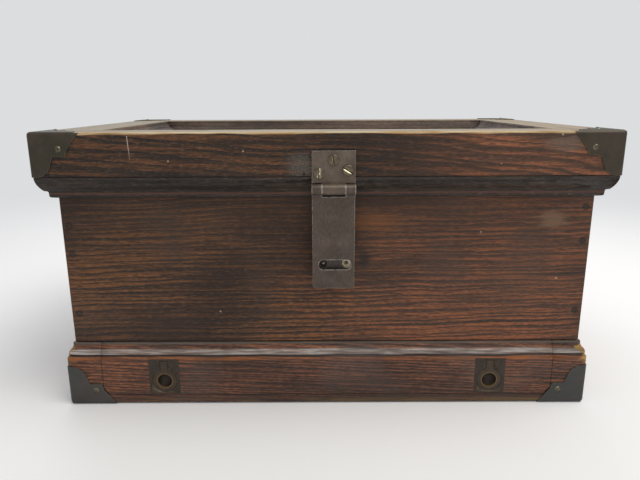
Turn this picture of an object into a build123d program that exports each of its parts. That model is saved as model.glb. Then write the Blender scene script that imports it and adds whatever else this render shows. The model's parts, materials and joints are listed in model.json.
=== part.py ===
from build123d import *

import math
import os

# A small chest in dark softwood: a framed lift-up lid, a cornice round three sides, a moulded plinth
# that holds a shallow drawer, sheet-brass caps on all eight corners and a steel hasp.
# Millimetres. +Z is up, the front faces -Y, and the origin is on the floor under the middle.

os.makedirs("parts", exist_ok=True)

# ---------------------------------------------------------------- driving dimensions
# case
case_width = 478.0
case_depth = 296.0
case_rise = 158.0  # from the top of the plinth to the rim
board = 14.0
floor_thickness = 8.4

# plinth and drawer
plinth_height = 61.4
plinth_projection = 6.8
block_width = 32.0
rail_thickness = 8.7
drawer_travel_gap = 0.4
drawer_side = 9.0
drawer_bottom = 5.0
drawer_back_space = 21.8  # behind the drawer, in front of the back board
drawer_wall_height = 42.0
groove_depth = 3.2
groove_lift = 4.0
groove_gap = 0.2
cap_relief = 1.0  # how far the drawer's lower corners keep off the base caps
guide_height = 20.0
stop_length = 12.0
stop_width = 20.0
stop_height = 10.4
stop_spacing = 300.0

# lid
lid_height = 37.7
lid_overhang = 14.0
lid_gap = 0.4
lid_wall = 26.0
lid_rail = 46.0
lid_flange = 11.0
lid_panel_thickness = 7.0
panel_gap = 0.3
moulding_width = 11.0
moulding_quirk = 0.6
moulding_bead = 1.4
moulding_bead_drop = 1.2
moulding_toe = 1.6
moulding_hollow = (0.42, 0.44)  # middle of the hollow, as shares of the width and height

# corner caps
cap_thickness = 0.9
corner_round = 2.4
leaf_long = 43.5
leaf_short = 38.5
leaf_waist = (33.0, 14.0)  # the leaf's outline, in along the long edge and the short edge
leaf_lobe = (30.5, 19.8)
leaf_notch = (19.5, 20.5)
leaf_leg = (17.3, 27.5)
leaf_ankle = (14.5, 33.5)
leaf_foot = (8.5, 37.3)
nail_along = 25.0
nail_across = 13.5
cap_nail_head = 2.6
cap_nail_dome = 1.3
cap_nail_shank = 0.9
cap_nail_length = 11.0

# plain nails through the front and back boards
board_nail_head = 1.3
board_nail_shank = 0.8
board_nail_length = 24.0
left_nail_heights = (90.0, 148.0, 174.0)
right_nail_heights = (92.0, 159.0, 190.0)

# butt hinges
hinge_length = 50.0
hinge_spacing = 300.0
hinge_leaf = 1.5
hinge_leaf_depth = 9.0
hinge_standoff = 2.6  # pin centre behind the back board
hinge_knuckle = 2.4
hinge_pin = 1.0
hinge_middle = 16.7
hinge_screw_spread = 17.0
hinge_screw_head = 2.3
hinge_screw_shank = 1.1
hinge_screw_length = 9.0
hinge_slot_width = 0.6
hinge_slot_depth = 0.4
hinge_relief = 1.0  # round the knuckles, in the lid's back rail

# hasp
hasp_centre = 5.8
hasp_width = 37.5
hasp_thickness = 2.2
hasp_edge_round = 0.5
hasp_strap_reach = 2.0  # of the plate and leaf behind the knuckles
hasp_plate_drop = 15.4  # lid top down to the fixed plate
hasp_pin_drop = 48.2  # lid top down to the hinge pin
hasp_drop = 89.8  # hinge pin down to the free end
hasp_knuckle = 4.8
hasp_pin = 1.9
hasp_middle = 20.0
hasp_notch = 2.0  # gap in the leaf under the fixed knuckle
hasp_slot_length = 28.7
hasp_slot_height = 8.9
hasp_slot_corner = 3.85
hasp_slot_offset = 1.3
hasp_slot_rise = 22.0  # free end up to the slot's centre
hasp_corner = 3.0
hasp_screw_head = 4.9
hasp_screw_dome = 1.4
hasp_screw_round = 0.98  # of the head's rim
hasp_screw_shank = 1.6
hasp_screw_length = 20.0
screw_slot_width = 1.1
screw_slot_depth = 0.8
# each screw: sideways from the hasp's centre, down from the fixed plate's top, turn of the slot
hasp_screws_at = ((-0.2, 8.0, 84.0), (-12.4, 19.6, 96.0), (12.2, 16.8, -32.0))

# staple base behind the hasp
staple_block_width = 33.0
staple_block_height = 30.0
staple_block_thickness = 9.6
staple_plate = 1.6
staple_hole = 3.3
staple_leg = 2.0
staple_leg_spread = 10.2
staple_stub = 1.2
staple_leg_cover = 3.0  # wood left behind the leg, inside the front board
staple_plate_margin = 1.0
staple_block_corner = 2.0
staple_plate_corner = 2.5
staple_stub_bevel = 1.2

# flush ring pulls
pull_spacing = 309.4
pull_plate_width = 29.0
pull_plate_height = 35.8
pull_plate_thickness = 4.0
pull_plate_lift = 0.6
pull_recess = 2.9
ring_outer = 11.3
ring_inner = 6.9
ring_thickness = 2.4
ring_rise = 14.0  # drawer's bottom edge up to the ring's centre
ring_neck = 6.6
ring_to_pin = 19.0
ring_barrel = 1.25
ring_clearance = 0.4
ring_pin = 0.7
ring_pin_length = 9.4
cup_radius = 7.6
cup_wall = 1.8
cup_depth = 8.6
cup_floor = 1.4

# fits
running = 0.05
drilled = 0.05
drill_allowance = 1.0  # how much deeper than its nail or screw a hole runs
cap_fit = 0.05
pressed = 0.02
leaf_clearance = 0.2
knuckle_gap = 0.3
joint_gap = 0.3

# ---------------------------------------------------------------- levels and faces
wood_bottom = cap_thickness
rim = plinth_height + case_rise
lid_bottom = rim + lid_gap
lid_top = lid_bottom + lid_height
lid_width = case_width + 2 * lid_overhang
lid_depth = case_depth + 2 * lid_overhang
plinth_width = case_width + 2 * plinth_projection
plinth_depth = case_depth + 2 * plinth_projection
inner_width = case_width - 2 * board
inner_depth = case_depth - 2 * board
front_face = -case_depth / 2
plinth_face = -plinth_depth / 2
lid_face = -lid_depth / 2
rail_top = wood_bottom + rail_thickness
drawer_low = rail_top + drawer_travel_gap
drawer_high = plinth_height - drawer_travel_gap
drawer_space = plinth_width - 2 * block_width
drawer_width = drawer_space - 2 * drawer_travel_gap
panel_top = lid_top - lid_flange
hinge_y = case_depth / 2 + hinge_standoff
hinge_z = rim + lid_gap / 2
hinge_places = [-hinge_spacing / 2, hinge_spacing / 2]
hasp_pin_z = lid_top - hasp_pin_drop
hasp_pin_y = lid_face - hasp_knuckle
hasp_plate_top = lid_top - hasp_plate_drop
slot_x = hasp_centre + hasp_slot_offset
slot_z = hasp_pin_z - hasp_drop + hasp_slot_rise
staple_face = front_face - staple_block_thickness
leg_x = [slot_x - staple_leg_spread, slot_x + staple_leg_spread]
staple_leg_plane = Plane(origin=(leg_x[0], front_face, slot_z), z_dir=(0, 1, 0))
ring_z = drawer_low + ring_rise
ring_pin_z = ring_z + ring_to_pin
ring_pin_y = plinth_face + pull_recess / 2
UP = Vector(0, 0, 1)


def keep(piece, name):
    """Label a finished piece and write it out."""
    piece.part.label = name
    export_step(piece.part, f"parts/{name}.step")


def spherical(reach, rise):
    """Radius and angle in degrees of the ball segment that rises this much over this radius."""
    radius = (reach**2 + rise**2) / (2 * rise)
    return radius, math.degrees(math.asin(reach / radius))


def slab(low, high, mode=Mode.ADD):
    """A square-cut board between two opposite corners."""
    size = Vector(*high) - Vector(*low)
    middle = (Vector(*high) + Vector(*low)) / 2
    with Locations(middle):
        Box(size.X, size.Y, size.Z, mode=mode)


def drill(planes, radius, depth):
    """Round holes that run from each plane's origin along its normal."""
    with Locations(*planes):
        Cylinder(radius, depth, align=(Align.CENTER, Align.CENTER, Align.MIN), mode=Mode.SUBTRACT)


def rod(start, direction, radius, length, mode=Mode.ADD):
    """A round bar from a point, along a direction."""
    with Locations(Plane(origin=start, z_dir=direction)):
        Cylinder(radius, length, align=(Align.CENTER, Align.CENTER, Align.MIN), mode=mode)


def rounded_block(width, depth, low, high, radius, round_bottom, round_top):
    """An upright block with rounded corners, and rounded bottom or top edges where asked."""
    with BuildPart() as block:
        with Locations((0, 0, (low + high) / 2)):
            Box(width, depth, high - low)
        edges = block.edges().filter_by(Axis.Z)
        if round_bottom:
            edges += block.faces().sort_by(Axis.Z)[0].edges()
        if round_top:
            edges += block.faces().sort_by(Axis.Z)[-1].edges()
        fillet(edges, radius)
    return block.part


def side_runs(width, depth, level):
    """The four outer edges of a rectangle: a plane at each start, X along the edge, Y inward, and a length."""
    w = width / 2
    d = depth / 2
    return {
        "front": (Plane(origin=(-w, -d, level), x_dir=(1, 0, 0), z_dir=UP), width),
        "right": (Plane(origin=(w, -d, level), x_dir=(0, 1, 0), z_dir=UP), depth),
        "back": (Plane(origin=(w, d, level), x_dir=(-1, 0, 0), z_dir=UP), width),
        "left": (Plane(origin=(-w, d, level), x_dir=(0, -1, 0), z_dir=UP), depth),
    }


def moulded_run(run, length, depth, height, profile, start_mitre=True, end_mitre=True):
    """A length of moulding along a run, its section drawn in (inward, up), with mitred or square ends."""
    start = depth if start_mitre else 0
    end = depth if end_mitre else 0
    section = Plane(origin=run.origin, x_dir=run.y_dir, z_dir=run.x_dir)
    with BuildPart() as piece:
        with BuildSketch(section):
            make_face(profile().edges())
        extrude(amount=length)
        with BuildSketch(run):
            with BuildLine():
                Polyline((0, 0), (length, 0), (length - end, depth), (start, depth), close=True)
            make_face()
        extrude(amount=height, mode=Mode.INTERSECT)
    return piece


# ---------------------------------------------------------------- sections of the mouldings
# each point of the plinth: down from the top and in from the face
shoulder_drop = 16.6
bead_drop = 11.9
cove_drop = 5.8
fillet_drop = 1.6
shoulder_inset = 1.6
bead_inset = 2.2
cove_inset = 3.5
fillet_inset = 5.6
shoulder_round = (0.3, 0.6)  # middle of the shoulder's curve, as shares of its inset and its rise
bead_swell = 0.3
cove_hollow = 0.4


def plinth_profile(back, low, high):
    """Plinth section: flat face, rounded shoulder, quirk, bead, cove and a fillet under the case."""
    top = plinth_height
    shoulder_rise = shoulder_drop - bead_drop
    with BuildLine() as section:
        ThreePointArc(
            (0, top - shoulder_drop),
            (shoulder_inset * shoulder_round[0], top - shoulder_drop + shoulder_rise * shoulder_round[1]),
            (shoulder_inset, top - bead_drop),
        )
        Line((shoulder_inset, top - bead_drop), (bead_inset, top - bead_drop))
        ThreePointArc(
            (bead_inset, top - bead_drop),
            (bead_inset - bead_swell, top - (bead_drop + cove_drop) / 2),
            (cove_inset, top - cove_drop),
        )
        ThreePointArc(
            (cove_inset, top - cove_drop),
            (
                (cove_inset + fillet_inset) / 2 + cove_hollow,
                top - (cove_drop + fillet_drop) / 2 - cove_hollow,
            ),
            (fillet_inset, top - fillet_drop),
        )
        Polyline(
            (fillet_inset, top - fillet_drop),
            (fillet_inset, high),
            (back, high),
            (back, low),
            (0, low),
            (0, top - shoulder_drop),
        )
    return section.line


cornice_height = 19.3
cornice_fascia = 1.5
cornice_set_back = 0.8
ovolo_drop = 12.2
ovolo_inset = 6.0
ovolo_swell = (1.8, 1.2)  # middle of the ovolo's curve: in from the fascia, and below half of its drop
quirk_inset = 7.8
quirk_drop = 12.7
bed_inset = 8.6
bed_drop = 13.6
bed_foot_inset = 8.9
bed_foot_drop = 17.6
cornice_toe = (9.9, 0.8)  # in from the lid's face, and above the lower edge
cornice_toe_width = 1.0


def cornice_profile():
    """Cornice section, from its lower edge: bed moulding, quirk, ovolo and a thin fascia under the lid."""
    top = cornice_height
    with BuildLine() as section:
        Polyline((lid_overhang, top), (cornice_set_back, top), (cornice_set_back, top - cornice_fascia))
        ThreePointArc(
            (cornice_set_back, top - cornice_fascia),
            (cornice_set_back + ovolo_swell[0], top - ovolo_drop / 2 - ovolo_swell[1]),
            (ovolo_inset, top - ovolo_drop),
        )
        Polyline(
            (ovolo_inset, top - ovolo_drop),
            (quirk_inset, top - quirk_drop),
            (bed_inset, top - bed_drop),
            (bed_foot_inset, top - bed_foot_drop),
            cornice_toe,
            (lid_overhang - cornice_toe_width, 0),
            (lid_overhang, 0),
            (lid_overhang, top),
        )
    return section.line


def lid_rail_profile():
    """Lid frame section: a deep outer wall with a wide flange along the top."""
    with BuildLine() as section:
        Polyline(
            (0, 0),
            (lid_wall, 0),
            (lid_wall, lid_height - lid_flange),
            (lid_rail, lid_height - lid_flange),
            (lid_rail, lid_height),
            (0, lid_height),
            close=True,
        )
    return section.line


def panel_moulding_profile():
    """The hollow-faced moulding that drops from the lid frame to the panel."""
    height = lid_flange - moulding_quirk
    with BuildLine() as section:
        Polyline(
            (moulding_width - moulding_bead, moulding_toe),
            (moulding_width, moulding_toe),
            (moulding_width, 0),
            (0, 0),
            (0, height),
            (moulding_bead, height),
            (moulding_bead, height - moulding_bead_drop),
        )
        ThreePointArc(
            (moulding_bead, height - moulding_bead_drop),
            (moulding_width * moulding_hollow[0], height * moulding_hollow[1]),
            (moulding_width - moulding_bead, moulding_toe),
        )
    return section.line


# ---------------------------------------------------------------- corner caps and their nails
def inward_axes(signs):
    """Unit vectors from a corner into the wood."""
    return Vector(signs[0], 0, 0), Vector(0, signs[1], 0), Vector(0, 0, signs[2])


def leaf_pairs(signs):
    """The long and short direction of each of a cap's three leaves; the level leaf is long from front to back."""
    along_x, along_y, along_z = inward_axes(signs)
    return ((along_x, along_z), (along_y, along_z), (along_y, along_x))


def leaf_outline():
    """One leaf of a cap: a broad lobe for the nail and a narrow leg that tapers along the short edge."""
    with BuildLine() as outline:
        Polyline(
            (0, 0),
            (leaf_long, 0),
            leaf_waist,
            leaf_lobe,
            leaf_notch,
            leaf_leg,
            leaf_ankle,
            leaf_foot,
            (0, leaf_short),
            close=True,
        )
    return outline.line


def nail_planes(corner, signs, leaves=(0, 1, 2)):
    """A plane on the wood under each nail of a cap, with its normal into the wood."""
    planes = []
    for index in leaves:
        along, across = leaf_pairs(signs)[index]
        depth = [axis for axis in inward_axes(signs) if axis not in (along, across)][0]
        planes.append(Plane(origin=corner + along * nail_along + across * nail_across, z_dir=depth))
    return planes


def corner_cap(sleeve, corner, signs):
    """A three-leaved cap cut from the thin sleeve that wraps the wood, drilled for its nails."""
    reach = corner_round + cap_thickness
    with BuildPart() as cap:
        for along, across in leaf_pairs(signs):
            outward = Plane(origin=corner, x_dir=along, z_dir=along.cross(across))
            with BuildSketch(outward):
                make_face(leaf_outline().edges())
            extrude(amount=reach, both=True)
        add(sleeve, mode=Mode.INTERSECT)
        lifted = [plane.offset(-2 * cap_thickness) for plane in nail_planes(corner, signs)]
        drill(lifted, cap_nail_shank + drilled, 3 * cap_thickness)
    return cap


def corners_of(width, depth, level, up):
    """Name, place and inward signs of the four corners at one level."""
    return {
        f"{end}_{side}": (Vector(x * width / 2, y * depth / 2, level), (-x, -y, up))
        for end, y in (("front", -1), ("back", 1))
        for side, x in (("left", -1), ("right", 1))
    }


with BuildPart() as dome_nail:
    with BuildSketch(Plane.XZ):
        with BuildLine():
            Polyline(
                (0, -cap_nail_dome),
                (0, cap_nail_length + cap_thickness),
                (cap_nail_shank, cap_nail_length + cap_thickness),
                (cap_nail_shank, 0),
                (cap_nail_head, 0),
            )
            dome_radius, dome_angle = spherical(cap_nail_head, cap_nail_dome)
            CenterArc((0, dome_radius - cap_nail_dome), dome_radius, -90, dome_angle)
        make_face()
    revolve(axis=Axis.Z)

with BuildPart() as flush_nail:
    Cylinder(cap_nail_shank, cap_nail_length + cap_thickness, align=(Align.CENTER, Align.CENTER, Align.MIN))



def wood_block(width, depth, low, high, growth, round_bottom):
    """The rounded outline that the wood is shaped to, grown outwards by a gap or a sheet's thickness."""
    return rounded_block(
        width + 2 * growth,
        depth + 2 * growth,
        low - (growth if round_bottom else 0),
        high + (0 if round_bottom else growth),
        corner_round + growth,
        round_bottom,
        not round_bottom,
    )


lid_extent = (lid_width, lid_depth, lid_bottom, lid_top)
plinth_extent = (plinth_width, plinth_depth, wood_bottom, plinth_height)
lid_block = wood_block(*lid_extent, 0, False)
plinth_block = wood_block(*plinth_extent, 0, True)
lid_sleeve = wood_block(*lid_extent, cap_thickness, False) - wood_block(*lid_extent, cap_fit, False)
plinth_sleeve = wood_block(*plinth_extent, cap_thickness, True) - wood_block(*plinth_extent, cap_fit, True)
lid_corners = corners_of(lid_width, lid_depth, lid_top, -1)
plinth_corners = corners_of(plinth_width, plinth_depth, wood_bottom, 1)
lid_nail_planes = [plane for place, signs in lid_corners.values() for plane in nail_planes(place, signs)]
plinth_nail_planes = [plane for place, signs in plinth_corners.values() for plane in nail_planes(place, signs)]

for name, (place, signs) in lid_corners.items():
    keep(corner_cap(lid_sleeve, place, signs), f"lid_cap_{name}")
for name, (place, signs) in plinth_corners.items():
    keep(corner_cap(plinth_sleeve, place, signs), f"base_cap_{name}")

with BuildPart() as lid_cap_nails:
    with Locations(*[plane.offset(-cap_thickness) for plane in lid_nail_planes]):
        add(dome_nail.part)
keep(lid_cap_nails, "lid_cap_nails")

with BuildPart() as base_cap_nails:
    for place, signs in plinth_corners.values():
        with Locations(*[plane.offset(-cap_thickness) for plane in nail_planes(place, signs, (0, 1))]):
            add(dome_nail.part)
        with Locations(*[plane.offset(-cap_thickness) for plane in nail_planes(place, signs, (2,))]):
            add(flush_nail.part)
keep(base_cap_nails, "base_cap_nails")


# ---------------------------------------------------------------- nails, screws and hinges shared by the boards
def board_nail_planes(face_y, depth):
    """Where the nails enter a front or back board, over the middle of the side boards' ends."""
    inset = case_width / 2 - board / 2
    places = [(-inset, height) for height in left_nail_heights]
    places += [(inset, height) for height in right_nail_heights]
    return [Plane(origin=(x, face_y, z), z_dir=(0, depth, 0)) for x, z in places]


front_nail_planes = board_nail_planes(front_face, 1)
back_nail_planes = board_nail_planes(-front_face, -1)

with BuildPart() as case_nails:
    with Locations(*front_nail_planes, *back_nail_planes):
        Cylinder(board_nail_shank, board_nail_length, align=(Align.CENTER, Align.CENTER, Align.MIN))
        Cylinder(board_nail_head, board_nail_shank, align=(Align.CENTER, Align.CENTER, Align.MIN))
keep(case_nails, "case_nails")


def hinge_screw_planes(side):
    """Where the hinge screws enter the wood: side is 1 in the lid and -1 in the case."""
    level = hinge_z + side * lid_gap / 2
    y = case_depth / 2 - hinge_leaf_depth / 2
    return [
        Plane(origin=(x + step, y, level), z_dir=(0, 0, side))
        for x in hinge_places
        for step in (-hinge_screw_spread, 0, hinge_screw_spread)
    ]


def hinge_leaves(side):
    """Both hinges' leaves on one side, each with its own knuckles round the pin."""
    level = hinge_z + side * lid_gap / 2
    half = hinge_length / 2
    middle = hinge_middle / 2
    back = case_depth / 2
    spans = [(-half, -middle - knuckle_gap), (middle + knuckle_gap, half)] if side > 0 else [(-middle, middle)]
    bore = hinge_pin + (running if side > 0 else pressed)
    with BuildPart() as leaves:
        for x in hinge_places:
            low, high = sorted((level, level + side * hinge_leaf))
            slab((x - half, back - hinge_leaf_depth, low), (x + half, back - knuckle_gap, high))
            for start, end in spans:
                slab((x + start, back - hinge_leaf_depth, low), (x + end, hinge_y, high))
                rod((x + start, hinge_y, hinge_z), (1, 0, 0), hinge_knuckle, end - start)
            rod((x - half, hinge_y, hinge_z), (1, 0, 0), bore, hinge_length, mode=Mode.SUBTRACT)
        with Locations(*hinge_screw_planes(side)):
            Cone(
                hinge_screw_head + drilled,
                hinge_screw_shank + drilled,
                hinge_leaf,
                align=(Align.CENTER, Align.CENTER, Align.MIN),
                mode=Mode.SUBTRACT,
            )
    return leaves


def hinge_screws(side):
    """Countersunk screws of one side's leaves."""
    with BuildPart() as screws:
        with Locations(*hinge_screw_planes(side)):
            Cone(
                hinge_screw_head,
                hinge_screw_shank,
                hinge_leaf,
                align=(Align.CENTER, Align.CENTER, Align.MIN),
            )
            Cylinder(hinge_screw_shank, hinge_screw_length, align=(Align.CENTER, Align.CENTER, Align.MIN))
        with Locations(*[plane.offset(hinge_slot_depth / 2) for plane in hinge_screw_planes(side)]):
            Box(2 * hinge_screw_head, hinge_slot_width, hinge_slot_depth, mode=Mode.SUBTRACT)
    return screws


def hinge_pocket(side):
    """Cut the pockets that the leaves are let into."""
    half = hinge_length / 2 + leaf_clearance
    back = case_depth / 2
    level = hinge_z + side * lid_gap / 2
    low, high = sorted((level - side * lid_gap, level + side * hinge_leaf))
    for x in hinge_places:
        slab(
            (x - half, back - hinge_leaf_depth - leaf_clearance, low),
            (x + half, hinge_y, high),
            mode=Mode.SUBTRACT,
        )
        if side > 0:
            rod((x - half, hinge_y, hinge_z), (1, 0, 0), hinge_knuckle + hinge_relief, 2 * half, mode=Mode.SUBTRACT)
    drill(hinge_screw_planes(side), hinge_screw_shank + drilled, hinge_screw_length + drill_allowance)


keep(hinge_leaves(1), "lid_hinge_leaves")
keep(hinge_leaves(-1), "case_hinge_leaves")
keep(hinge_screws(1), "lid_hinge_screws")
keep(hinge_screws(-1), "case_hinge_screws")

with BuildPart() as hinge_pins:
    for x in hinge_places:
        rod((x - hinge_length / 2, hinge_y, hinge_z), (1, 0, 0), hinge_pin, hinge_length)
keep(hinge_pins, "hinge_pins")

# ---------------------------------------------------------------- case
with BuildPart() as front_board:
    slab((-case_width / 2, front_face, plinth_height), (case_width / 2, front_face + board, rim))
    drill(front_nail_planes, board_nail_shank + drilled, board_nail_length)
    drill(front_nail_planes, board_nail_head + drilled, board_nail_shank)
    drill([staple_leg_plane], staple_leg + drilled, board - staple_leg_cover + drill_allowance)
keep(front_board, "front_board")

with BuildPart() as back_board:
    slab((-case_width / 2, -front_face - board, wood_bottom), (case_width / 2, -front_face, rim))
    drill(back_nail_planes, board_nail_shank + drilled, board_nail_length)
    drill(back_nail_planes, board_nail_head + drilled, board_nail_shank)
    drill(plinth_nail_planes, cap_nail_shank + drilled, cap_nail_length + drill_allowance)
    hinge_pocket(-1)
keep(back_board, "back_board")

for name, side in (("left", -1), ("right", 1)):
    inner, outer = sorted((side * inner_width / 2, side * case_width / 2))
    with BuildPart() as side_board:
        slab((inner, -inner_depth / 2, wood_bottom), (outer, inner_depth / 2, rim))
        drill(front_nail_planes + back_nail_planes, board_nail_shank + drilled, board_nail_length + drill_allowance)
        drill(plinth_nail_planes, cap_nail_shank + drilled, cap_nail_length + drill_allowance)
    keep(side_board, f"{name}_board")

with BuildPart() as chest_floor:
    floor_low = plinth_height + joint_gap
    slab(
        (-inner_width / 2, -inner_depth / 2, floor_low),
        (inner_width / 2, inner_depth / 2, floor_low + floor_thickness),
    )
keep(chest_floor, "chest_floor")

with BuildPart() as bottom_board:
    slab((-inner_width / 2, -inner_depth / 2, wood_bottom), (inner_width / 2, inner_depth / 2, rail_top))
keep(bottom_board, "bottom_board")

cornice_runs = side_runs(lid_width, lid_depth, rim - cornice_height)
front_run, front_length = cornice_runs["front"]
keep(moulded_run(front_run, front_length, lid_overhang, cornice_height, cornice_profile), "cornice_front")
for name in ("left", "right"):
    run, length = cornice_runs[name]
    square_end = length - lid_overhang
    if name == "left":
        run = run.shift_origin(run.origin + run.x_dir * lid_overhang)
    cornice = moulded_run(
        run, square_end, lid_overhang, cornice_height, cornice_profile, name == "right", name == "left"
    )
    keep(cornice, f"cornice_{name}")

# ---------------------------------------------------------------- plinth
for name, side in (("left", -1), ("right", 1)):
    outer = side * plinth_width / 2
    inner = outer - side * block_width
    start = Plane(origin=(min(outer, inner), plinth_face, 0), x_dir=(0, 1, 0), z_dir=(1, 0, 0))
    with BuildPart() as block:
        with BuildSketch(start):
            make_face(plinth_profile(plinth_projection + board, wood_bottom, plinth_height).edges())
        extrude(amount=block_width)
        with BuildSketch(Plane(origin=(outer, 0, 0), x_dir=(-side, 0, 0), z_dir=(0, side, 0))):
            make_face(plinth_profile(block_width, wood_bottom, plinth_height).edges())
        extrude(amount=plinth_depth / 2, both=True, mode=Mode.INTERSECT)
        add(plinth_block, mode=Mode.INTERSECT)
        drill(plinth_nail_planes, cap_nail_shank + drilled, cap_nail_length + drill_allowance)
    keep(block, f"base_block_{name}")



def skirt_profile():
    """The plinth section cut down to the thin skirt on the sides and back."""
    return plinth_profile(plinth_projection, wood_bottom, plinth_height)


plinth_runs = side_runs(plinth_width, plinth_depth, 0)
block_end = plinth_projection + board
for name in ("left", "right", "back"):
    run, length = plinth_runs[name]
    if name == "right":
        run = run.shift_origin(run.origin + run.x_dir * block_end)
    if name != "back":
        length -= block_end
    strip = moulded_run(
        run, length, plinth_projection, plinth_height, skirt_profile, name != "right", name != "left"
    )
    with BuildPart() as skirt:
        add(strip.part)
        add(plinth_block, mode=Mode.INTERSECT)
        drill(plinth_nail_planes, cap_nail_shank + drilled, cap_nail_length + drill_allowance)
    keep(skirt, f"base_skirt_{name}")

with BuildPart() as bottom_rail:
    slab(
        (-drawer_space / 2, plinth_face, wood_bottom),
        (drawer_space / 2, -inner_depth / 2, rail_top),
    )
    add(plinth_block, mode=Mode.INTERSECT)
keep(bottom_rail, "bottom_rail")

with BuildPart() as drawer_guides:
    for side in (-1, 1):
        inner, outer = sorted((side * drawer_space / 2, side * inner_width / 2))
        slab((inner, -inner_depth / 2, rail_top), (outer, inner_depth / 2, rail_top + guide_height))
keep(drawer_guides, "drawer_guides")

drawer_end = inner_depth / 2 - drawer_back_space
with BuildPart() as drawer_stops:
    for x in (-stop_spacing / 2, stop_spacing / 2):
        slab(
            (x - stop_width / 2, drawer_end + joint_gap, rail_top),
            (x + stop_width / 2, drawer_end + joint_gap + stop_length, rail_top + stop_height),
        )
keep(drawer_stops, "drawer_stops")

# ---------------------------------------------------------------- staple base behind the hasp
with BuildPart() as staple_block:
    slab(
        (hasp_centre - staple_block_width / 2, staple_face, slot_z - staple_block_height / 2),
        (hasp_centre + staple_block_width / 2, front_face, slot_z + staple_block_height / 2),
    )
    fillet(staple_block.edges().filter_by(Axis.Y), staple_block_corner)
    leg_planes = [Plane(origin=(x, staple_face, slot_z), z_dir=(0, 1, 0)) for x in leg_x]
    drill(leg_planes, staple_leg + drilled, staple_block_thickness - drill_allowance)
    drill(leg_planes[:1], staple_leg + drilled, staple_block_thickness)
keep(staple_block, "staple_block")

with BuildPart() as staple_plate_piece:
    half_width = staple_block_width / 2 - staple_plate_margin
    half_height = staple_block_height / 2 - staple_plate_margin
    slab(
        (hasp_centre - half_width, staple_face - staple_plate, slot_z - half_height),
        (hasp_centre + half_width, staple_face, slot_z + half_height),
    )
    fillet(staple_plate_piece.edges().filter_by(Axis.Y), staple_plate_corner)
    drill([plane.offset(-staple_plate) for plane in leg_planes], staple_hole, staple_plate)
keep(staple_plate_piece, "staple_plate")

with BuildPart() as staple_leg_piece:
    leg_start = (leg_x[0], front_face + board - staple_leg_cover, slot_z)
    rod(leg_start, (0, -1, 0), staple_leg, board - staple_leg_cover + staple_block_thickness + staple_stub)
    chamfer(staple_leg_piece.faces().sort_by(Axis.Y)[0].edges(), staple_stub_bevel)
keep(staple_leg_piece, "staple_leg")

# ---------------------------------------------------------------- drawer
face_plane = Plane(origin=(-drawer_width / 2, plinth_face, 0), x_dir=(0, 1, 0), z_dir=(1, 0, 0))
pull_places = {"left": -pull_spacing / 2, "right": pull_spacing / 2}
plate_low = drawer_low + pull_plate_lift


def pull_plane(x):
    """A plane on the drawer's face at a ring's centre, facing out."""
    return Plane(origin=(x, plinth_face, ring_z), x_dir=(1, 0, 0), z_dir=(0, -1, 0))


groove_low = drawer_low + groove_lift
side_start = plinth_face + board
leaf_slope = leaf_waist[1] / (leaf_long - leaf_waist[0])
relief_reach = leaf_long + cap_relief

with BuildPart() as corner_relief:
    # the drawer's lower corners are cut back along the leaves of the base caps, to slide out past them
    for side in (-1, 1):
        corner = Plane(
            origin=(side * plinth_width / 2, plinth_face, wood_bottom), x_dir=(-side, 0, 0), z_dir=(0, side, 0)
        )
        with BuildSketch(corner):
            with BuildLine():
                Polyline(
                    (block_width, 0),
                    (relief_reach, 0),
                    (block_width, (relief_reach - block_width) * leaf_slope),
                    close=True,
                )
            make_face()
        extrude(amount=plinth_depth, both=True)

with BuildPart() as drawer_front:
    with BuildSketch(face_plane):
        make_face(plinth_profile(board, drawer_low, drawer_high).edges())
    extrude(amount=drawer_width)
    slab(
        (-drawer_width / 2 + drawer_side - groove_depth, side_start - groove_depth, groove_low),
        (drawer_width / 2 - drawer_side + groove_depth, side_start, groove_low + drawer_bottom + groove_gap),
        mode=Mode.SUBTRACT,
    )
    for x in pull_places.values():
        slab(
            (x - pull_plate_width / 2, plinth_face - 1, plate_low),
            (x + pull_plate_width / 2, plinth_face + pull_plate_thickness, plate_low + pull_plate_height),
            mode=Mode.SUBTRACT,
        )
        rod(
            (x, plinth_face, ring_z),
            (0, 1, 0),
            cup_radius + cup_wall + drilled,
            cup_depth + cup_floor,
            mode=Mode.SUBTRACT,
        )
    add(corner_relief.part, mode=Mode.SUBTRACT)
keep(drawer_front, "drawer_front")

for name, side in (("left", -1), ("right", 1)):
    outer = side * drawer_width / 2
    inner = outer - side * drawer_side
    groove = inner + side * groove_depth
    with BuildPart() as drawer_wall:
        slab(
            (min(outer, inner), side_start, drawer_low),
            (max(outer, inner), drawer_end, drawer_low + drawer_wall_height),
        )
        slab(
            (min(groove, inner), side_start, groove_low),
            (max(groove, inner), drawer_end, groove_low + drawer_bottom + groove_gap),
            mode=Mode.SUBTRACT,
        )
        add(corner_relief.part, mode=Mode.SUBTRACT)
    keep(drawer_wall, f"drawer_side_{name}")

with BuildPart() as drawer_back:
    half = drawer_width / 2 - drawer_side
    slab(
        (-half, drawer_end - drawer_side, groove_low + drawer_bottom),
        (half, drawer_end, drawer_low + drawer_wall_height),
    )
keep(drawer_back, "drawer_back")

with BuildPart() as drawer_bottom_panel:
    half = drawer_width / 2 - drawer_side + groove_depth - groove_gap
    slab(
        (-half, side_start - groove_depth + groove_gap, groove_low),
        (half, drawer_end, groove_low + drawer_bottom),
    )
keep(drawer_bottom_panel, "drawer_bottom")


# ---------------------------------------------------------------- flush ring pulls
def ring_outline(growth):
    """A ring with its neck, seen from the front, grown by a clearance."""
    Circle(ring_outer + growth)
    with Locations((0, ring_to_pin / 2)):
        Rectangle(ring_neck + 2 * growth, ring_to_pin)


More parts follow.
